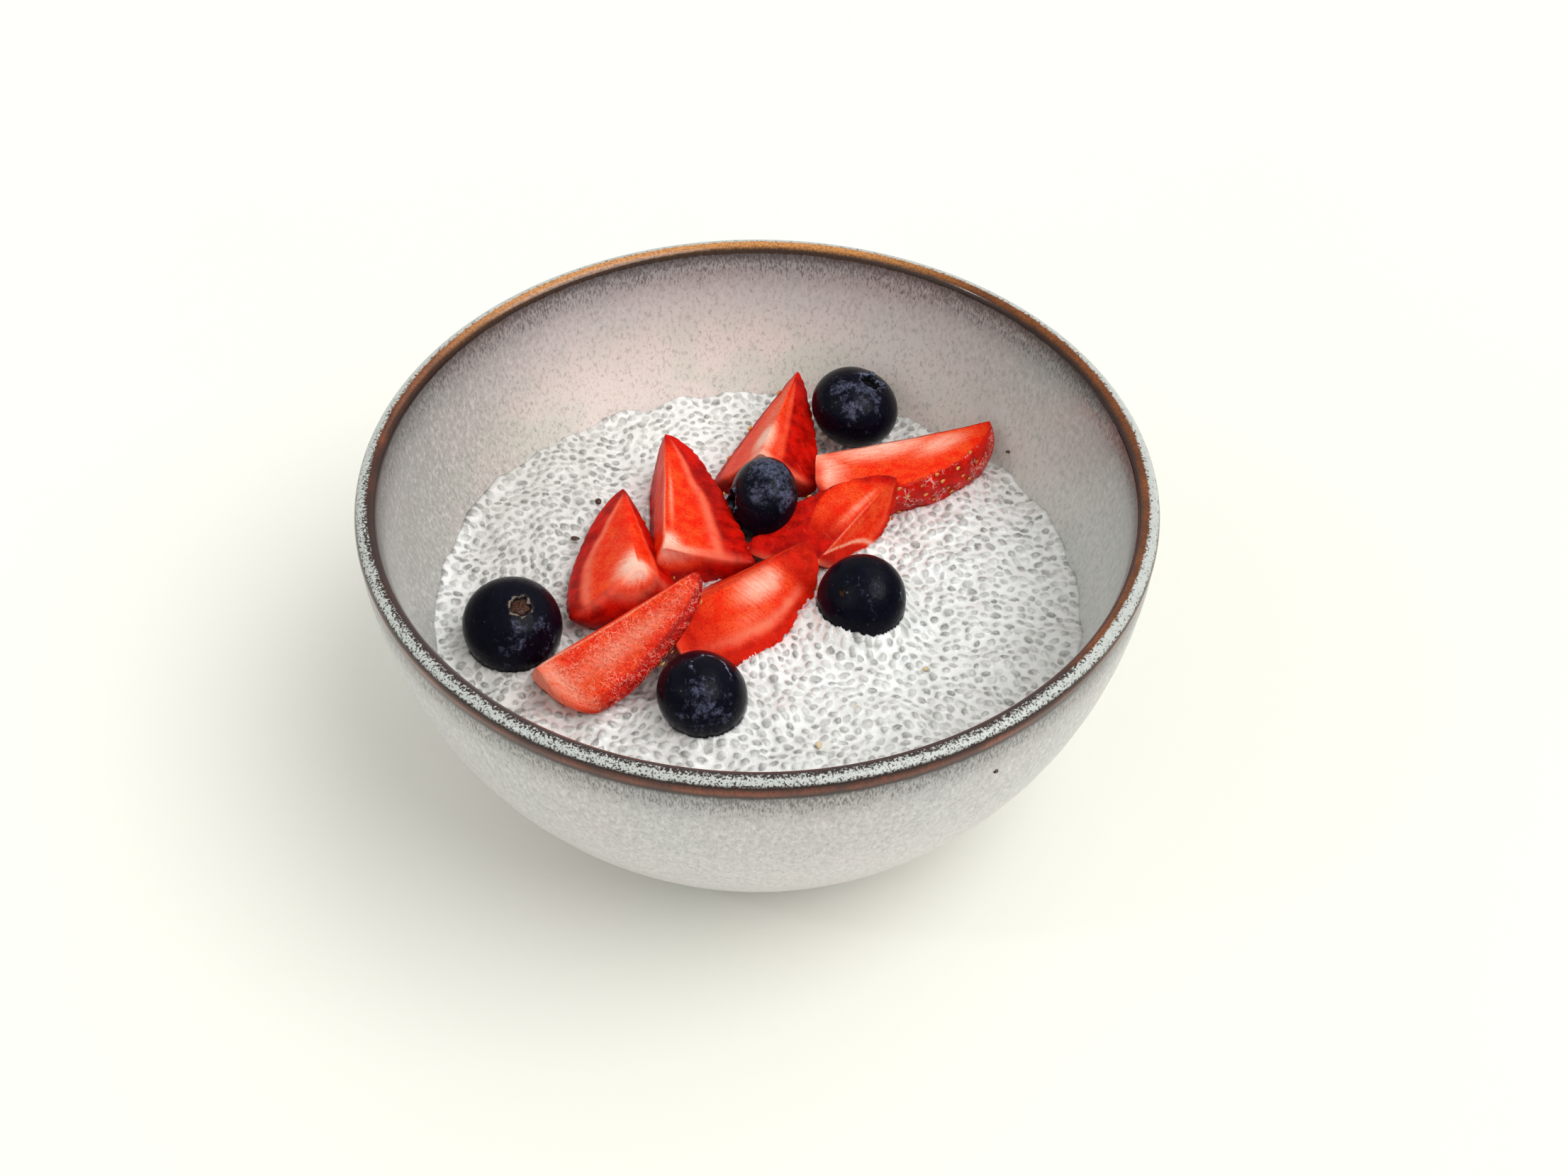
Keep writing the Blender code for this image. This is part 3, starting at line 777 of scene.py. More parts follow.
def make_bowl():
    profile, arcs = bowl_profile()
    points, faces, rows = turned(profile, BOWL_SIDES)
    bowl = new_piece("glazed_bowl", points, faces, [glaze_look()])
    x, y, z = np.array(points).T
    away = np.maximum(np.hypot(x, y), 1.0)
    x, y = x / away, y / away
    arc = np.array([arcs[row] for row in rows])
    inside = arc > 0.0
    left, right = smooth(-x, 0.5, 1.0), smooth(x, 0.4, 0.9)
    # far and height place the painted light on the far inner wall, above the pudding
    far = 0.35 + 0.65 * smooth(y - 0.1 * x, 0.0, 0.9)
    height = smooth(z, 34.0, 40.0) * (1.0 - smooth(z, 44.0, 68.0))
    # Painted shade, carried as dark: inside on the left and high on the right, outside on the right;
    # outside it also grows darker towards the rim
    dark_inside = 0.08 + 0.95 * left + 0.3 * right * smooth(z, 45.0, 60.0)
    dark_outside = 0.1 + 0.35 * right + 0.3 * smooth(z, 30.0, 60.0)
    # cool paints the right inner wall lighter and greener, against its shade
    carry(bowl, arc=arc, warm=far * height * inside, cool=right * inside,
          dark=np.where(inside, dark_inside, dark_outside),
          # gold is painted light that turns the bands golden at the far and right side, bright a painted
          # highlight on the far rim
          gold=np.maximum(smooth(y, -0.3, 0.8), 0.75 * smooth(x, 0.6, 0.95)),
          bright=smooth(y - 0.25 * x, 0.6, 0.95))
    return bowl


def edge_width(t, taper, roundness, shoulder):
    body = (1.0 - t**taper) ** (1.0 / roundness)
    return body * (1.0 - shoulder * (1.0 - t) ** 4) / (1.0 - shoulder)


def skin_points(wedge, t, turn):
    """Points of a wedge's skin, t along the core and turn from the left cut to the right."""
    core, tip, left, right = [np.array(p) for p in wedge[:4]]
    to_left, to_right = left - core, right - core
    reach_left, reach_right = np.linalg.norm(to_left), np.linalg.norm(to_right)
    to_left, to_right = to_left / reach_left, to_right / reach_right
    span = math.acos(float(to_left @ to_right))
    t, turn = t[..., None], turn[..., None]
    way = (np.sin((1.0 - turn) * span) * to_left + np.sin(turn * span) * to_right) / math.sin(span)
    shape = [a + (b - a) * turn for a, b in zip(wedge[4], wedge[5])]
    reach = reach_left * (1.0 - turn) + reach_right * turn
    return core + (tip - core) * t + way * reach * edge_width(t, *shape)


class Grid:
    """The points of a wedge: rows along it, and columns round it over cut, skin and cut."""

    def __init__(self, wedge, bulge):
        steps = np.arange(STATIONS) / STATIONS
        self.t = 1.0 - (1.0 - steps) ** STATION_CROWDING
        cut = np.arange(CUT_STEPS + 1) / CUT_STEPS
        arc = np.arange(1, ARC_STEPS) / ARC_STEPS
        self.across = np.concatenate([cut, np.ones(len(arc)), cut[:0:-1]])
        self.turn = np.concatenate([0 * cut, arc, 1.0 + 0 * cut[:0:-1]])
        self.columns = len(self.turn)
        self.core, self.tip = np.array(wedge[0]), np.array(wedge[1])
        t, turn = np.meshgrid(self.t, self.turn, indexing="ij")
        middle = self.core + (self.tip - self.core) * t[..., None]
        around = middle + (skin_points(wedge, t, turn) - middle) * self.across[None, :, None]
        hull_across, hull_turn = np.meshgrid(cut[1:-1], arc, indexing="ij")
        hull_skin = skin_points(wedge, 0 * hull_turn, hull_turn)
        hull = self.core + (hull_skin - self.core) * hull_across[..., None]
        self.points = np.concatenate([around.reshape(-1, 3), [self.tip], hull.reshape(-1, 3)])
        axis = (self.tip - self.core) / np.linalg.norm(self.tip - self.core)
        self.all_t = np.concatenate([t.ravel(), [1.0], 0 * hull_turn.ravel()])
        self.all_turn = np.concatenate([turn.ravel(), [0.5], hull_turn.ravel()])
        across = np.broadcast_to(self.across, t.shape)
        self.all_across = np.concatenate([across.ravel(), [1.0], hull_across.ravel()])
        self.body = len(around.reshape(-1, 3))
        self.is_hull = np.arange(len(self.points)) > self.body
        self.is_hull |= self.all_t == 0.0
        swell = np.sin(math.pi * self.all_across**1.3) * np.exp(-((self.all_t / 0.16) ** 2))
        self.points -= axis * (bulge * swell)[:, None]

    def hull_index(self, k, j):
        """The point at step k out from the core and step j round the hull's cut."""
        if k == 0:
            return 0
        if j == 0:
            return k
        if j == ARC_STEPS:
            return self.columns - k
        if k == CUT_STEPS:
            return CUT_STEPS + j
        return self.body + 1 + (k - 1) * (ARC_STEPS - 1) + (j - 1)

    def faces(self):
        """All faces, and whether each is skin, 1, or flesh, 0."""
        faces, kinds = [], []
        columns = self.columns
        for i in range(STATIONS):
            for j in range(columns):
                k = (j + 1) % columns
                a, b = i * columns, (i + 1) * columns
                last = i + 1 == STATIONS
                faces.append((a + j, self.body, a + k) if last else (a + j, b + j, b + k, a + k))
                kinds.append(int(CUT_STEPS <= j < CUT_STEPS + ARC_STEPS))
        for k in range(CUT_STEPS):
            for j in range(ARC_STEPS):
                corners = (self.hull_index(k, j), self.hull_index(k + 1, j),
                           self.hull_index(k + 1, j + 1), self.hull_index(k, j + 1))
                faces.append(tuple(dict.fromkeys(corners)))
                kinds.append(0)
        return faces, kinds


def achene_places(wedge, keep, draw):
    """Places, ways along the skin and outward normals of a wedge's achenes."""
    core, tip, left, right = [np.array(p) for p in wedge[:4]]
    length = np.linalg.norm(tip - core)
    girth = np.linalg.norm(right - left) * 1.25
    shape = [0.5 * (a + b) for a, b in zip(wedge[4], wedge[5])]
    rows = int(length / ACHENE_PITCH)
    found = []
    for row in range(1, rows):
        t = (row + 0.35) / (rows + 0.6)
        wide = girth * float(edge_width(np.array(t), *shape))
        count = max(1, round(wide / (ACHENE_PITCH * 1.05)))
        for i in range(count + 1):
            turn = (i + 0.5 * (row % 2)) / (count + 0.5) + draw.uniform(-0.03, 0.03)
            turn = min(max(turn, 0.0), 1.0)
            at = t + draw.uniform(-0.012, 0.012)
            here, ahead, beside = [
                skin_points(wedge, np.array(at + a), np.array(turn + b))
                for a, b in ((0.0, 0.0), (0.01, 0.0), (0.0, 0.01))
            ]
            along = (ahead - here) / np.linalg.norm(ahead - here)
            out = np.cross(beside - here, along)
            middle = core + (tip - core) * at
            out = out / np.linalg.norm(out)
            if out @ (here - middle) < 0:
                out = -out
            if draw.random() < keep:
                found.append((here, along, out))
    return found


def cut_fields(face, t, across, rough):
    """The masks of one cut face: ring, pale, deep, dull and coarse."""
    place = face.ring * (1.0 - (t / face.ring_end) ** 3) + face.lean * t + 0.035 * rough
    tip = smooth(t, face.tip_from - 0.09, face.tip_from + 0.09)
    line = face.rim * (1.0 - smooth(across, 0.03, 0.08))
    outer = np.maximum(smooth(across, place, place + 0.14), line)
    pale = 0.0 * t
    for at, off, along, wide, strength in face.patches:
        patch = np.exp(-(((t - at) / along) ** 2) - ((across - off) / wide) ** 2)
        pale = np.maximum(pale, strength * patch)
    if face.seam:
        bow = 0.1 * np.sin(math.pi * across)
        seam = face.seam[0] + (face.seam[1] - face.seam[0]) * across + bow
        pale = np.maximum(pale, 0.7 * np.exp(-(((t - seam) / 0.03) ** 2)))
        tip = np.maximum(tip, 1.0 - smooth(t, seam - 0.05, seam))
    if face.foot:
        tip = np.maximum(tip, 1.0 - smooth(t, 0.0, face.foot))
    border = smooth(across, 0.93, 1.0) * (0.7 + 0.5 * rough)
    return {
        "ring": face.line * np.exp(-(((across - place) / 0.065) ** 2)) * (1.0 - tip),
        "pale": pale * (1.0 - tip),
        "deep": np.maximum(face.deep * np.maximum(outer, tip), face.base),
        "dull": np.maximum(np.maximum(face.dull * outer, line), 0.7 * border),
        "coarse": face.coarse + 0.0 * t,
    }


def hull_fields(hull, across, turn, rough):
    """The masks of the cut at the hull end, with pale lines to both corners."""
    place, strength, core, paleness, deep_from, to_corners = hull
    side = np.minimum(turn, 1.0 - turn)
    lines = to_corners * np.exp(-((side * across / 0.05) ** 2)) * (1.0 - smooth(across, 0.55, 1.0))
    arc = strength * np.exp(-(((across - place - 0.03 * rough) / 0.07) ** 2))
    return {
        "ring": np.maximum(lines, arc),
        "pale": paleness * np.exp(-((across / core) ** 2)),
        "deep": smooth(across + 0.05 * rough, deep_from, deep_from + 0.35),
        "dull": 0.3 * smooth(across, 0.75, 1.0),
        "coarse": 0.25 + 0.0 * across,
    }


def wedge_fields(number, grid):
    """The masks of a whole wedge, and the coordinates across and along its strands."""
    rough = noise_at(grid.points, 6.0, number)
    left, right = [cut_fields(face, grid.all_t, grid.all_across, rough) for face in FACES[number]]
    hull = hull_fields(HULLS.get(number, USUAL_HULL), grid.all_across, grid.all_turn, rough)
    to_right = smooth(grid.all_turn, 0.3, 0.7)
    leave = smooth(grid.all_t, 0.0, CREASE_BLEND)
    fields = {}
    for name in left:
        cut = left[name] * (1.0 - to_right) + right[name] * to_right
        fields[name] = np.where(grid.is_hull, hull[name], hull[name] + (cut - hull[name]) * leave)
    length = np.linalg.norm(grid.tip - grid.core)
    along = grid.all_t * length
    lengthwise = FACES[number][0].lengthwise
    slant = 18.0 * grid.all_turn - 7.0
    strand = 14.0 * grid.all_across if lengthwise else along + slant * grid.all_across
    fields["strand"] = strand + 40.0 * number
    fields["across"] = along / 14.0 if lengthwise else grid.all_across
    return fields


def dented(points, places, depth, radius):
    """Points pressed in round each place, against its normal."""
    tree = search_tree(points)
    moved = points.copy()
    for here, _, out in places:
        for _, index, away in tree.find_range(here, radius * 2.2):
            moved[index] -= out * depth * math.exp(-((away / radius) ** 2))
    return moved


def scallops(grid, number):
    """How far each point near an edge of the skin is pulled towards the core, as vectors."""
    middle = grid.core + (grid.tip - grid.core) * grid.all_t[:, None]
    inward = middle - grid.points
    inward /= np.maximum(np.linalg.norm(inward, axis=1, keepdims=True), 0.5)
    side = np.minimum(grid.all_turn, 1.0 - grid.all_turn)
    share = np.exp(-((side / 0.07) ** 2)) * smooth(grid.all_across, 0.8, 1.0)
    share *= smooth(grid.all_t, 0.02, 0.1)
    along = grid.all_t * np.linalg.norm(grid.tip - grid.core) / SCALLOP_PITCH
    uneven = noise_at(grid.points, 3.0, number + 20.0)
    wave = np.abs(np.cos(math.pi * (along + 0.6 * uneven))) ** 3
    return inward * (SCALLOP_DEPTH * share * wave * (1.0 + 0.6 * uneven))[:, None]


def make_wedge(number, wedge, looks, draw):
    """One wedge, and the places of its achenes."""
    grid = Grid(wedge, HULL_BULGE.get(number, USUAL_BULGE))
    faces, kinds = grid.faces()
    places = achene_places(wedge, ACHENES_KEPT.get(number, USUALLY_KEPT), draw)
    points = dented(grid.points, places, PIT_DEPTH, PIT_RADIUS)
    wave = noise_at(points, 7.0, number) + 0.5 * noise_at(points, 2.5, number)
    middle = grid.points[: grid.body].mean(axis=0)
    away = points - middle
    away /= np.linalg.norm(away, axis=1, keepdims=True)
    points = points - away * (CUT_WAVE * (0.6 + wave))[:, None]
    obj = new_piece(f"strawberry_cut_{number}", points, faces, looks, kinds)
    carry(obj, **wedge_fields(number, grid))
    soften_edges(obj, *SOFT_EDGES.get(number, USUAL_EDGES))
    for vertex, shift in zip(obj.data.vertices, scallops(grid, number)):
        vertex.co += Vector(shift) * MM
    return obj, places


def soften_edges(obj, reach, passes):
    """Rounds the long edges and the hull's edges of a wedge."""
    build = bmesh.new()
    build.from_mesh(obj.data)
    build.normal_update()
    near = set()
    for edge in build.edges:
        if len(edge.link_faces) == 2 and edge.calc_face_angle() > math.radians(25):
            near.update(edge.verts)
    for _ in range(reach):
        near.update([edge.other_vert(vert) for vert in near for edge in vert.link_edges])
    for _ in range(passes):
        bmesh.ops.smooth_vert(build, verts=list(near), factor=0.5, use_axis_x=True,
                              use_axis_y=True, use_axis_z=True)
    build.to_mesh(obj.data)
    build.free()


def ball(sides, rings, crowding=1.0):
    """Points and faces of a unit ball, with its rings crowded towards the top."""
    polar = [math.pi * (1.0 - i / rings) ** crowding for i in range(rings + 1)]
    profile = [(math.sin(p), math.cos(p)) for p in polar]
    profile[0], profile[-1] = (0.0, -1.0), (0.0, 1.0)
    points, faces, _ = turned(profile, sides)
    return np.array(points), faces


def make_achenes(all_places, draw):
    """Every achene of every wedge, as one mesh of small pointed grains."""
    unit, unit_faces = ball(10, 6)
    pointed = 1.0 - 0.35 * unit[:, 2:3]
    grain = np.concatenate([unit[:, 2:3], unit[:, 0:1] * pointed, unit[:, 1:2] * pointed], axis=1)
    grain = grain * np.array(ACHENE_SIZE) / 2
    points, faces = [], []
    for here, along, out in all_places:
        side = np.cross(out, along)
        turn = np.stack([along, side, out])
        size = draw.uniform(0.8, 1.12)
        sunk = here - out * (PIT_DEPTH * 0.75)
        faces += [tuple(i + len(points) for i in face) for face in unit_faces]
        points += list(grain @ turn * size + sunk)
    return new_piece("strawberry_achenes", points, faces, [achene_look()])


def make_seeds(name, rows, look, draw):
    """Small smooth grains, each turned at random."""
    unit, unit_faces = ball(20, 14)
    points, faces = [], []
    for place, size in rows:
        turn = draw.uniform(0.0, math.pi)
        grain = unit * np.array(size) / 2
        grain[:, 0] *= 1.0 - 0.25 * unit[:, 0]
        x = grain[:, 0] * math.cos(turn) - grain[:, 1] * math.sin(turn)
        y = grain[:, 0] * math.sin(turn) + grain[:, 1] * math.cos(turn)
        z = place[2]
        if math.hypot(place[0], place[1]) < inner_radius(PUDDING_LEVEL):
            z = surface_height(place[0], place[1]) + SEED_RISE + 0.3 * size[2]
        faces += [tuple(i + len(points) for i in face) for face in unit_faces]
        points += list(np.column_stack([x, y, grain[:, 2]]) + np.array((place[0], place[1], z)))
    return new_piece(name, points, faces, [look])


def berry_shape(polar, azimuth, angle, rise, rough):
    """How far out the skin is, and its angle from the crown's edge, negative inside it."""
    star = 0.5 + 0.5 * np.cos(CROWN_LOBES * azimuth)
    place = angle * (0.9 + 0.16 * star + 0.22 * rough)
    lobes = np.exp(-(((polar - place) / LOBE_THICKNESS) ** 2))
    lobes *= np.clip(0.35 + 0.6 * star + 1.6 * rough, 0.0, 1.0)
    inside = 1.0 - smooth(polar, 0.75 * place, place)
    shoulder = np.exp(-((polar / (2.2 * angle)) ** 4))
    dip = CROWN_DIP * min(angle / 0.3, 1.0) ** 3 if rise else 0.0
    return 1.0 + rise * lobes - dip * inside - 0.02 * shoulder, polar - place


def make_berry(number, berry, berry_look, material):
    centre, radius, flatness, crown = berry
    centre = np.array(centre)
    turn, tilt = upright_to(crown), upright_to(berry_look.facing)
    unit, faces = ball(BERRY_SIDES, BERRY_RINGS, RING_CROWDING)
    polar = np.arccos(np.clip(unit[:, 2], -1.0, 1.0))
    azimuth = np.arctan2(unit[:, 1], unit[:, 0])
    spots = unit * 10.0 + 30.0 * number
    reach, away = berry_shape(polar, azimuth, berry_look.angle, berry_look.rise, noise_at(spots, 2.2))
    lumps = noise_at(spots, 9.0) * 0.012
    points = unit * (reach + lumps - 0.01)[:, None] @ tilt.T @ turn
    points[:, 2] *= flatness
    points = centre + radius * points @ turn.T
    obj = new_piece(f"blueberry_skin_{number}", points, faces, [material])
    toward = (points - centre) @ np.array(Vector(berry_look.bloom_way).normalized()) / radius
    crown_middle = points[polar < 0.5 * berry_look.angle].mean(axis=0)
    beyond = (points[:, 1] - crown_middle[1]) / (radius * berry_look.angle)
    lobes = 1.0 - berry_look.gap * (1.0 - smooth(beyond, -0.2, 0.4))
    carry(obj, away=away * radius, bloom=0.04 + berry_look.bloom * smooth(toward, 0.1, 1.0),
          pale=berry_look.pale * lobes, dry=np.full(len(points), berry_look.dry))
    return obj


def surface_height(x, y):
    z = PUDDING_LEVEL
    for direction, distance, rise, spread in SWELLS:
        angle = math.radians(direction)
        away = math.hypot(x - distance * math.cos(angle), y - distance * math.sin(angle))
        z += rise * math.exp(-((away / spread) ** 2))
    return z + WAVE_HEIGHT * noise.noise(Vector((x, y, 3.0)) / WAVE_LENGTH)


def disc(reach, rings):
    """Points of a disc in rings of 6, 12, 18 and so on, and its triangles."""
    points, starts = [(0.0, 0.0)], [0]
    for ring in range(1, rings + 1):
        starts.append(len(points))
        radius = reach * ring / rings
        angles = [2 * math.pi * i / (6 * ring) for i in range(6 * ring)]
        points += [(radius * math.cos(angle), radius * math.sin(angle)) for angle in angles]
    faces = []
    for ring in range(1, rings + 1):
        inner, outer = 6 * (ring - 1), 6 * ring
        for sector in range(6):
            for i in range(ring):
                a = starts[ring] + (sector * ring + i) % outer
                b = starts[ring] + (sector * ring + i + 1) % outer
                c = starts[ring - 1] + ((sector * (ring - 1) + i) % inner if inner else 0)
                faces.append((a, b, c))
                if i < ring - 1:
                    d = starts[ring - 1] + (sector * (ring - 1) + i + 1) % inner
                    faces.append((b, d, c))
    return np.array(points), faces, starts[-1]


def scattered(reach, spacing, draw):
    """Random places in a disc, none nearer than the spacing to another."""
    cell = spacing / math.sqrt(2)
    taken, places, active = {}, [], []

    def free(x, y):
        if math.hypot(x, y) > reach:
            return False
        i, j = int(x // cell), int(y // cell)
        cells = [(i + a, j + b) for a in range(-2, 3) for b in range(-2, 3)]
        near = [taken[at] for at in cells if at in taken]
        return all(math.hypot(x - p[0], y - p[1]) >= spacing for p in near)

    def add(x, y):
        taken[(int(x // cell), int(y // cell))] = (x, y)
        places.append((x, y))
        active.append((x, y))

    add(0.0, 0.0)
    while active:
        index = draw.randrange(len(active))
        x, y = active[index]
        for _ in range(24):
            angle = draw.uniform(0.0, 2 * math.pi)
            away = spacing * draw.uniform(1.0, 1.6)
            if free(x + away * math.cos(angle), y + away * math.sin(angle)):
                add(x + away * math.cos(angle), y + away * math.sin(angle))
                break
        else:
            active.pop(index)
    return places


def seed_table(draw):
    """Each seed's place, half length, half width, direction, shade, clearness and rise."""
    places = scattered(inner_radius(PUDDING_LEVEL), SEED_SPACING, draw)
    tree = search_tree(places)
    rows = []
    for x, y in places:
        near = tree.find_n((x, y, 0.0), 3)[1:]
        room = sum(found[2] for found in near) / 2
        long = room * draw.uniform(*SEED_LENGTHS)
        wide = long * draw.uniform(*SEED_WIDTHS)
        flow = 2.2 * noise.noise(Vector((x, y, 9.0)) / STIRRED_LENGTH)
        rows.append((x, y, long, wide, flow + draw.uniform(*SEED_TURNS), draw.random(),
                     draw.random() ** 0.6, draw.uniform(*SEED_RISES)))
    return np.array(rows), tree


def nearest_seed(points, table, tree):
    """For each point the seed that it is most inside of, how far out of it, 1 at its edge, and
    how far towards the seed's own light side, -1 to 1."""
    best = np.full(len(points), 9.0)
    chosen = np.zeros(len(points), int)
    side = np.zeros(len(points))
    near = np.array([[found[1] for found in tree.find_n((x, y, 0.0), 4)] for x, y in points])
    for column in range(near.shape[1]):
        x, y, long, wide, turn, _, clear, _ = table[near[:, column]].T
        dx, dy = points[:, 0] - x, points[:, 1] - y
        cos, sin = np.cos(turn), np.sin(turn)
        out = np.hypot((dx * cos + dy * sin) / long, (dy * cos - dx * sin) / wide)
        light = clear * LIGHT_SIDE_SPREAD
        toward = (dx * np.cos(light) + dy * np.sin(light)) / long
        better = out < best
        side[better] = toward[better]
        best[better] = out[better]
        chosen[better] = near[better, column]
    return chosen, best, np.clip(side, -1.0, 1.0)


def distances(points, targets, most=8.0):
    """Distance from each point in plan to the nearest target in plan."""
    tree = search_tree(targets)
    return np.array([min(tree.find((x, y, 0.0))[2], most) for x, y in points])


def contact_line(obj):
    """Where a topping's surface crosses the pudding's level, in plan."""
    found = []
    for vertex in obj.data.vertices:
        x, y, z = vertex.co / MM
        if abs(z - surface_height(x, y)) < CONTACT_REACH:
            found.append((x, y))
    return found


def undersides(points, toppings):
    """For each point in plan the lowest height of a topping over it, or none."""
    low = np.full(len(points), np.nan)
    for obj in toppings:
        mesh = obj.data
        corners = [v.co / MM for v in mesh.vertices]
        tree = bvhtree.BVHTree.FromPolygons(corners, [p.vertices[:] for p in mesh.polygons])
        box = np.array(corners)
        start, end = box.min(axis=0), box.max(axis=0)
        inside = (points[:, 0] > start[0]) & (points[:, 0] < end[0])
        inside &= (points[:, 1] > start[1]) & (points[:, 1] < end[1])
        for index in np.nonzero(inside)[0]:
            x, y = points[index]
            hit = tree.ray_cast(Vector((x, y, 0.0)), Vector((0.0, 0.0, 1.0)))[0]
            if hit and not hit.z > low[index]:
                low[index] = hit.z
    return low


def kept_under(z, plan, toppings, to_any):
    """Heights pressed in to stay under the toppings that lie over them."""
    low = undersides(plan, toppings)
    covered = ~np.isnan(low)
    covered &= np.where(covered, low, np.inf) < z
    pressed = np.maximum(np.where(covered, low, 0.0) - PRESSED_UNDER, z - PRESS_SLOPE * to_any)
    return np.where(covered, np.minimum(z, pressed), z)


def pudding_heights(plan, flat, seed_domes, to_any, to_wall):
    """The pudding's surface: waves, lumps, swollen seeds, and heaps at fruit and wall."""
    z = np.array([surface_height(x, y) for x, y in plan])
    z += LUMP_HEIGHT * noise_at(flat, LUMP_LENGTH, 4.0)
    z += FINE_HEIGHT * noise_at(flat, FINE_LENGTH, 5.0)
    z += SEED_RISE * seed_domes
    z += CONTACT_RISE * np.exp(-((to_any / CONTACT_SPREAD) ** 2))
    wander = noise_at(flat, 7.0, 6.0) + 0.3 * noise_at(flat, 2.2, 7.0)
    z += (EDGE_HEAP + EDGE_WANDER * wander) * np.exp(-((to_wall / EDGE_SPREAD) ** 2))
    for number, heap in HEAPS.items():
        (x, y, _), radius = BERRIES[number - 1][:2]
        away = np.maximum(np.hypot(plan[:, 0] - x, plan[:, 1] - y) - 0.9 * radius, 0.0)
        z += heap * np.exp(-((away / HEAP_SPREAD) ** 2))
    return z


def closed_below(points, faces, rim, way):
    """Points and faces of the pudding's surface, closed along the bowl's wall and floor."""
    sides = len(rim)
    rings, blocks = [rim], [points]
    count = len(points)
    for height in (*SIDE_HEIGHTS, PUDDING_BOTTOM):
        radius = inner_radius(height) if height > PUDDING_BOTTOM else FLOOR_RADIUS
        blocks.append(np.column_stack([way * (radius - OFF_WALL), np.full(sides, height)]))
        rings.append(np.arange(count, count + sides))
        count += sides
    blocks.append(np.array([[0.0, 0.0, PUDDING_BOTTOM]]))
    for upper, lower in zip(rings, rings[1:]):
        for i in range(sides):
            j = (i + 1) % sides
            faces.append((upper[i], lower[i], lower[j], upper[j]))
    faces += [(rings[-1][i], count, rings[-1][(i + 1) % sides]) for i in range(sides)]
    return np.concatenate(blocks), faces


def pudding_fields(plan, flat, shade, clear, out, side, to_fruit):
    """Where the pudding shows a seed, how dark and clear it is, where it is pink, and its painted shade."""
    x, y = plan.T
    to_left = smooth(-x, 15.0, 50.0)
    near_right = smooth(x - y, 40.0, 80.0)
    in_front = smooth(-y, 15.0, 45.0)
    stain = np.clip(0.6 + 0.8 * noise_at(flat, 5.0, 8.0), 0.0, 1.0)
    # Painted shade on the milk: darker to the left, towards the near right and at the front
    front_shade = np.maximum(0.65 * near_right, 0.45 * in_front)
    return {
        "seed": np.minimum(out, 2.0),
        # Painted light and shade on each seed: lighter and fainter on its own light side, and darker to the
        # left
        "shade": np.clip(shade - 0.5 * side + 0.35 * to_left, 0.0, 1.4),
        "clear": (0.35 + 0.65 * clear) * (1.0 - 0.45 * smooth(side, 0.0, 1.0)),
        "pink": np.exp(-to_fruit / 2.6) * stain,
        "milk_shade": np.maximum(to_left * smooth(x, -64.0, -54.0), front_shade),
    }


def make_pudding(wedges, berries, draw):
    edge = inner_radius(PUDDING_LEVEL) + INTO_WALL
    plan, faces, rim_start = disc(edge, PUDDING_RINGS)
    flat = np.column_stack([plan, np.zeros(len(plan))])
    table, tree = seed_table(draw)
    warp = np.column_stack([noise_at(flat, 1.1, 11.0), noise_at(flat, 1.1, 13.0)])
    chosen, out, side = nearest_seed(plan + SEED_WARP * warp, table, tree)
    shade, clear, rise = table[chosen].T[5:]
    to_fruit = distances(plan, [p for obj in wedges for p in contact_line(obj)])
    to_any = np.minimum(to_fruit, distances(plan, [p for obj in berries for p in contact_line(obj)]))
    to_wall = edge - np.hypot(plan[:, 0], plan[:, 1])
    domes = rise * np.clip(1.0 - (out / 1.25) ** 2, 0.0, 1.0) * smooth(to_wall, 0.0, 2.0)
    z = pudding_heights(plan, flat, domes, to_any, to_wall)
    z = kept_under(z, plan, wedges + berries, to_any)
    points = np.column_stack([plan, z])
    rim = np.arange(rim_start, len(plan))
    way = plan[rim] / edge
    points[rim, :2] = way * np.array([inner_radius(h) + INTO_WALL for h in z[rim]])[:, None]
    points, faces = closed_below(points, faces, rim, way)
    pudding = new_piece("chia_pudding", points, faces, [pudding_look()])
    unseen = np.ones(len(points) - len(plan))
    fields = pudding_fields(plan, flat, shade, clear, out, side, to_fruit)
    carry(pudding, **{name: np.concatenate([values, unseen]) for name, values in fields.items()})
    return pudding


def aim(obj, place, target, roll=0.0):
    """Puts a lamp or a camera at a place, looking at a target, turned by a roll in degrees."""
    place, target = Vector(place), Vector(target)
    forward = (target - place).normalized()
    right = forward.cross(Vector((0, 0, 1))).normalized()
    up = right.cross(forward)
    angle = math.radians(roll)
    x = right * math.cos(angle) + up * math.sin(angle)
    y = up * math.cos(angle) - right * math.sin(angle)
    obj.matrix_world = Matrix.Translation(place * MM) @ Matrix((x, y, -forward)).transposed().to_4x4()


def make_camera():
    data = bpy.data.cameras.new("camera")
    data.lens = LENS
    data.sensor_fit = "HORIZONTAL"
    camera = bpy.data.objects.new("camera", data)
    bpy.context.scene.collection.objects.link(camera)
    tilt = math.radians(CAMERA_ELEVATION)
    rim = Vector((0.0, 0.0, BOWL_HEIGHT))
    place = rim + CAMERA_DISTANCE * Vector((0.0, -math.cos(tilt), math.sin(tilt)))
    upwards = Vector((0.0, math.sin(tilt), math.cos(tilt)))
    target = rim + Vector((CAMERA_SIDESTEP, 0.0, 0.0)) - CAMERA_DROP * upwards
    aim(camera, place, target, CAMERA_ROLL)
    bpy.context.scene.camera = camera


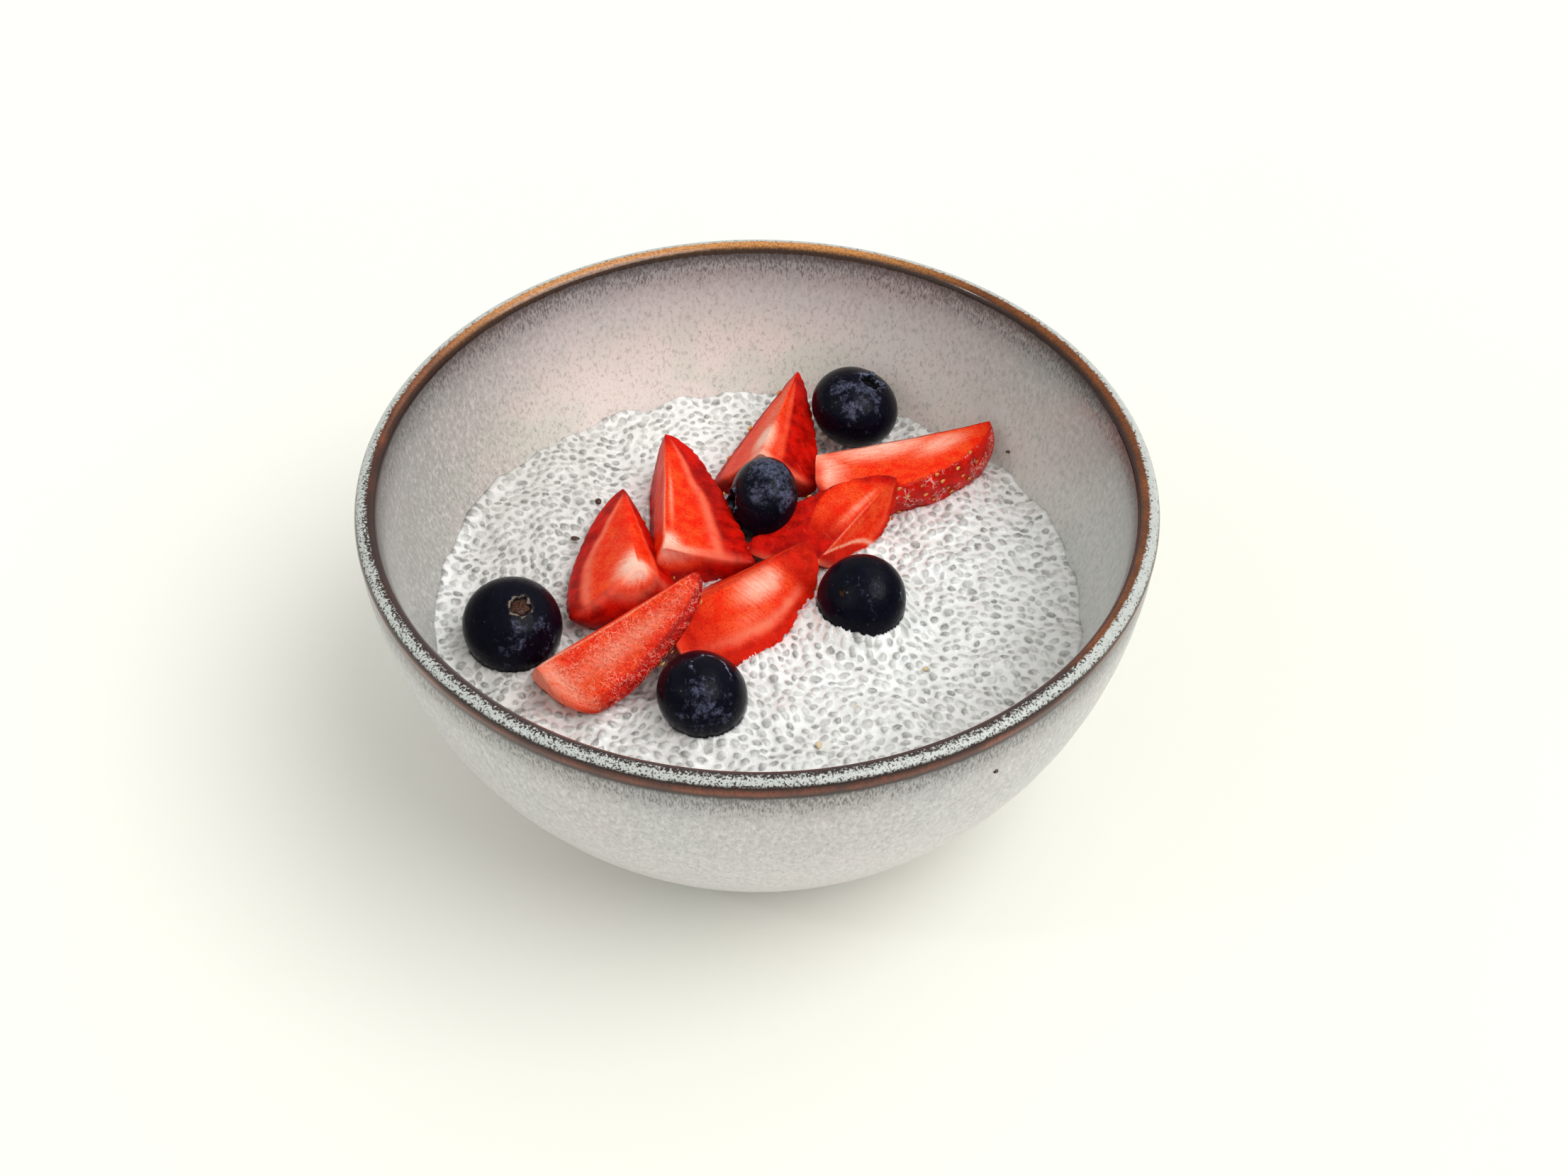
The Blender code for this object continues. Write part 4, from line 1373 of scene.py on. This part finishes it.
def make_sun(name, direction, elevation, width, power):
    data = bpy.data.lights.new(name, "SUN")
    data.angle = math.radians(width)
    data.energy = power
    lamp = bpy.data.objects.new(name, data)
    bpy.context.scene.collection.objects.link(lamp)
    turn, height = math.radians(direction), math.radians(elevation)
    way = Vector((math.cos(turn) * math.cos(height), math.sin(turn) * math.cos(height), math.sin(height)))
    aim(lamp, 1000.0 * way, (0.0, 0.0, 0.0))


def make_stage():
    corners = [(TABLE_REACH * x, TABLE_REACH * y, 0.0) for x, y in ((-1, -1), (1, -1), (1, 1), (-1, 1))]
    floor = new_piece("table", corners, [(0, 1, 2, 3)], [floor_look()])
    world = bpy.data.worlds.new("soft sky")
    world.use_nodes = True
    sky = world.node_tree.nodes["Background"]
    sky.inputs["Color"].default_value = SKY_COLOUR
    sky.inputs["Strength"].default_value = SKY_POWER
    bpy.context.scene.world = world
    for name, lamp in LAMPS.items():
        make_sun(name, *lamp)
    bpy.context.scene.view_settings.view_transform = "Standard"


def join_root(obj, slot, *nodes):
    """Fixes a piece to the object and hides the solids that it stands for; the slot is not used."""
    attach(obj, "root")
    if nodes:
        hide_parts(*nodes)


def main():
    draw = random.Random(SEED)
    make_stage()
    make_camera()
    join_root(make_bowl(), "glaze", "bowl")
    looks = [flesh_look(), skin_look()]
    wedges, places = [], []
    for number, wedge in enumerate(WEDGES, start=1):
        obj, found = make_wedge(number, wedge, looks, draw)
        join_root(obj, "strawberry", f"strawberry_wedge_{number}")
        wedges.append(obj)
        places += found
    join_root(make_achenes(places, draw), "strawberry")
    berries, berry_skin = [], blueberry_look()
    for number, (berry, berry_look) in enumerate(zip(BERRIES, BERRY_LOOKS), start=1):
        obj = make_berry(number, berry, berry_look, berry_skin)
        join_root(obj, "blueberry", f"blueberry_{number}")
        berries.append(obj)
    join_root(make_pudding(wedges, berries, draw), "pudding", "pudding")
    join_root(make_seeds("dark_seeds", DARK_SEEDS, dark_seed_look(), draw), "pudding")
    join_root(make_seeds("pale_seeds", PALE_SEEDS, pale_seed_look(), draw), "pudding")


main()
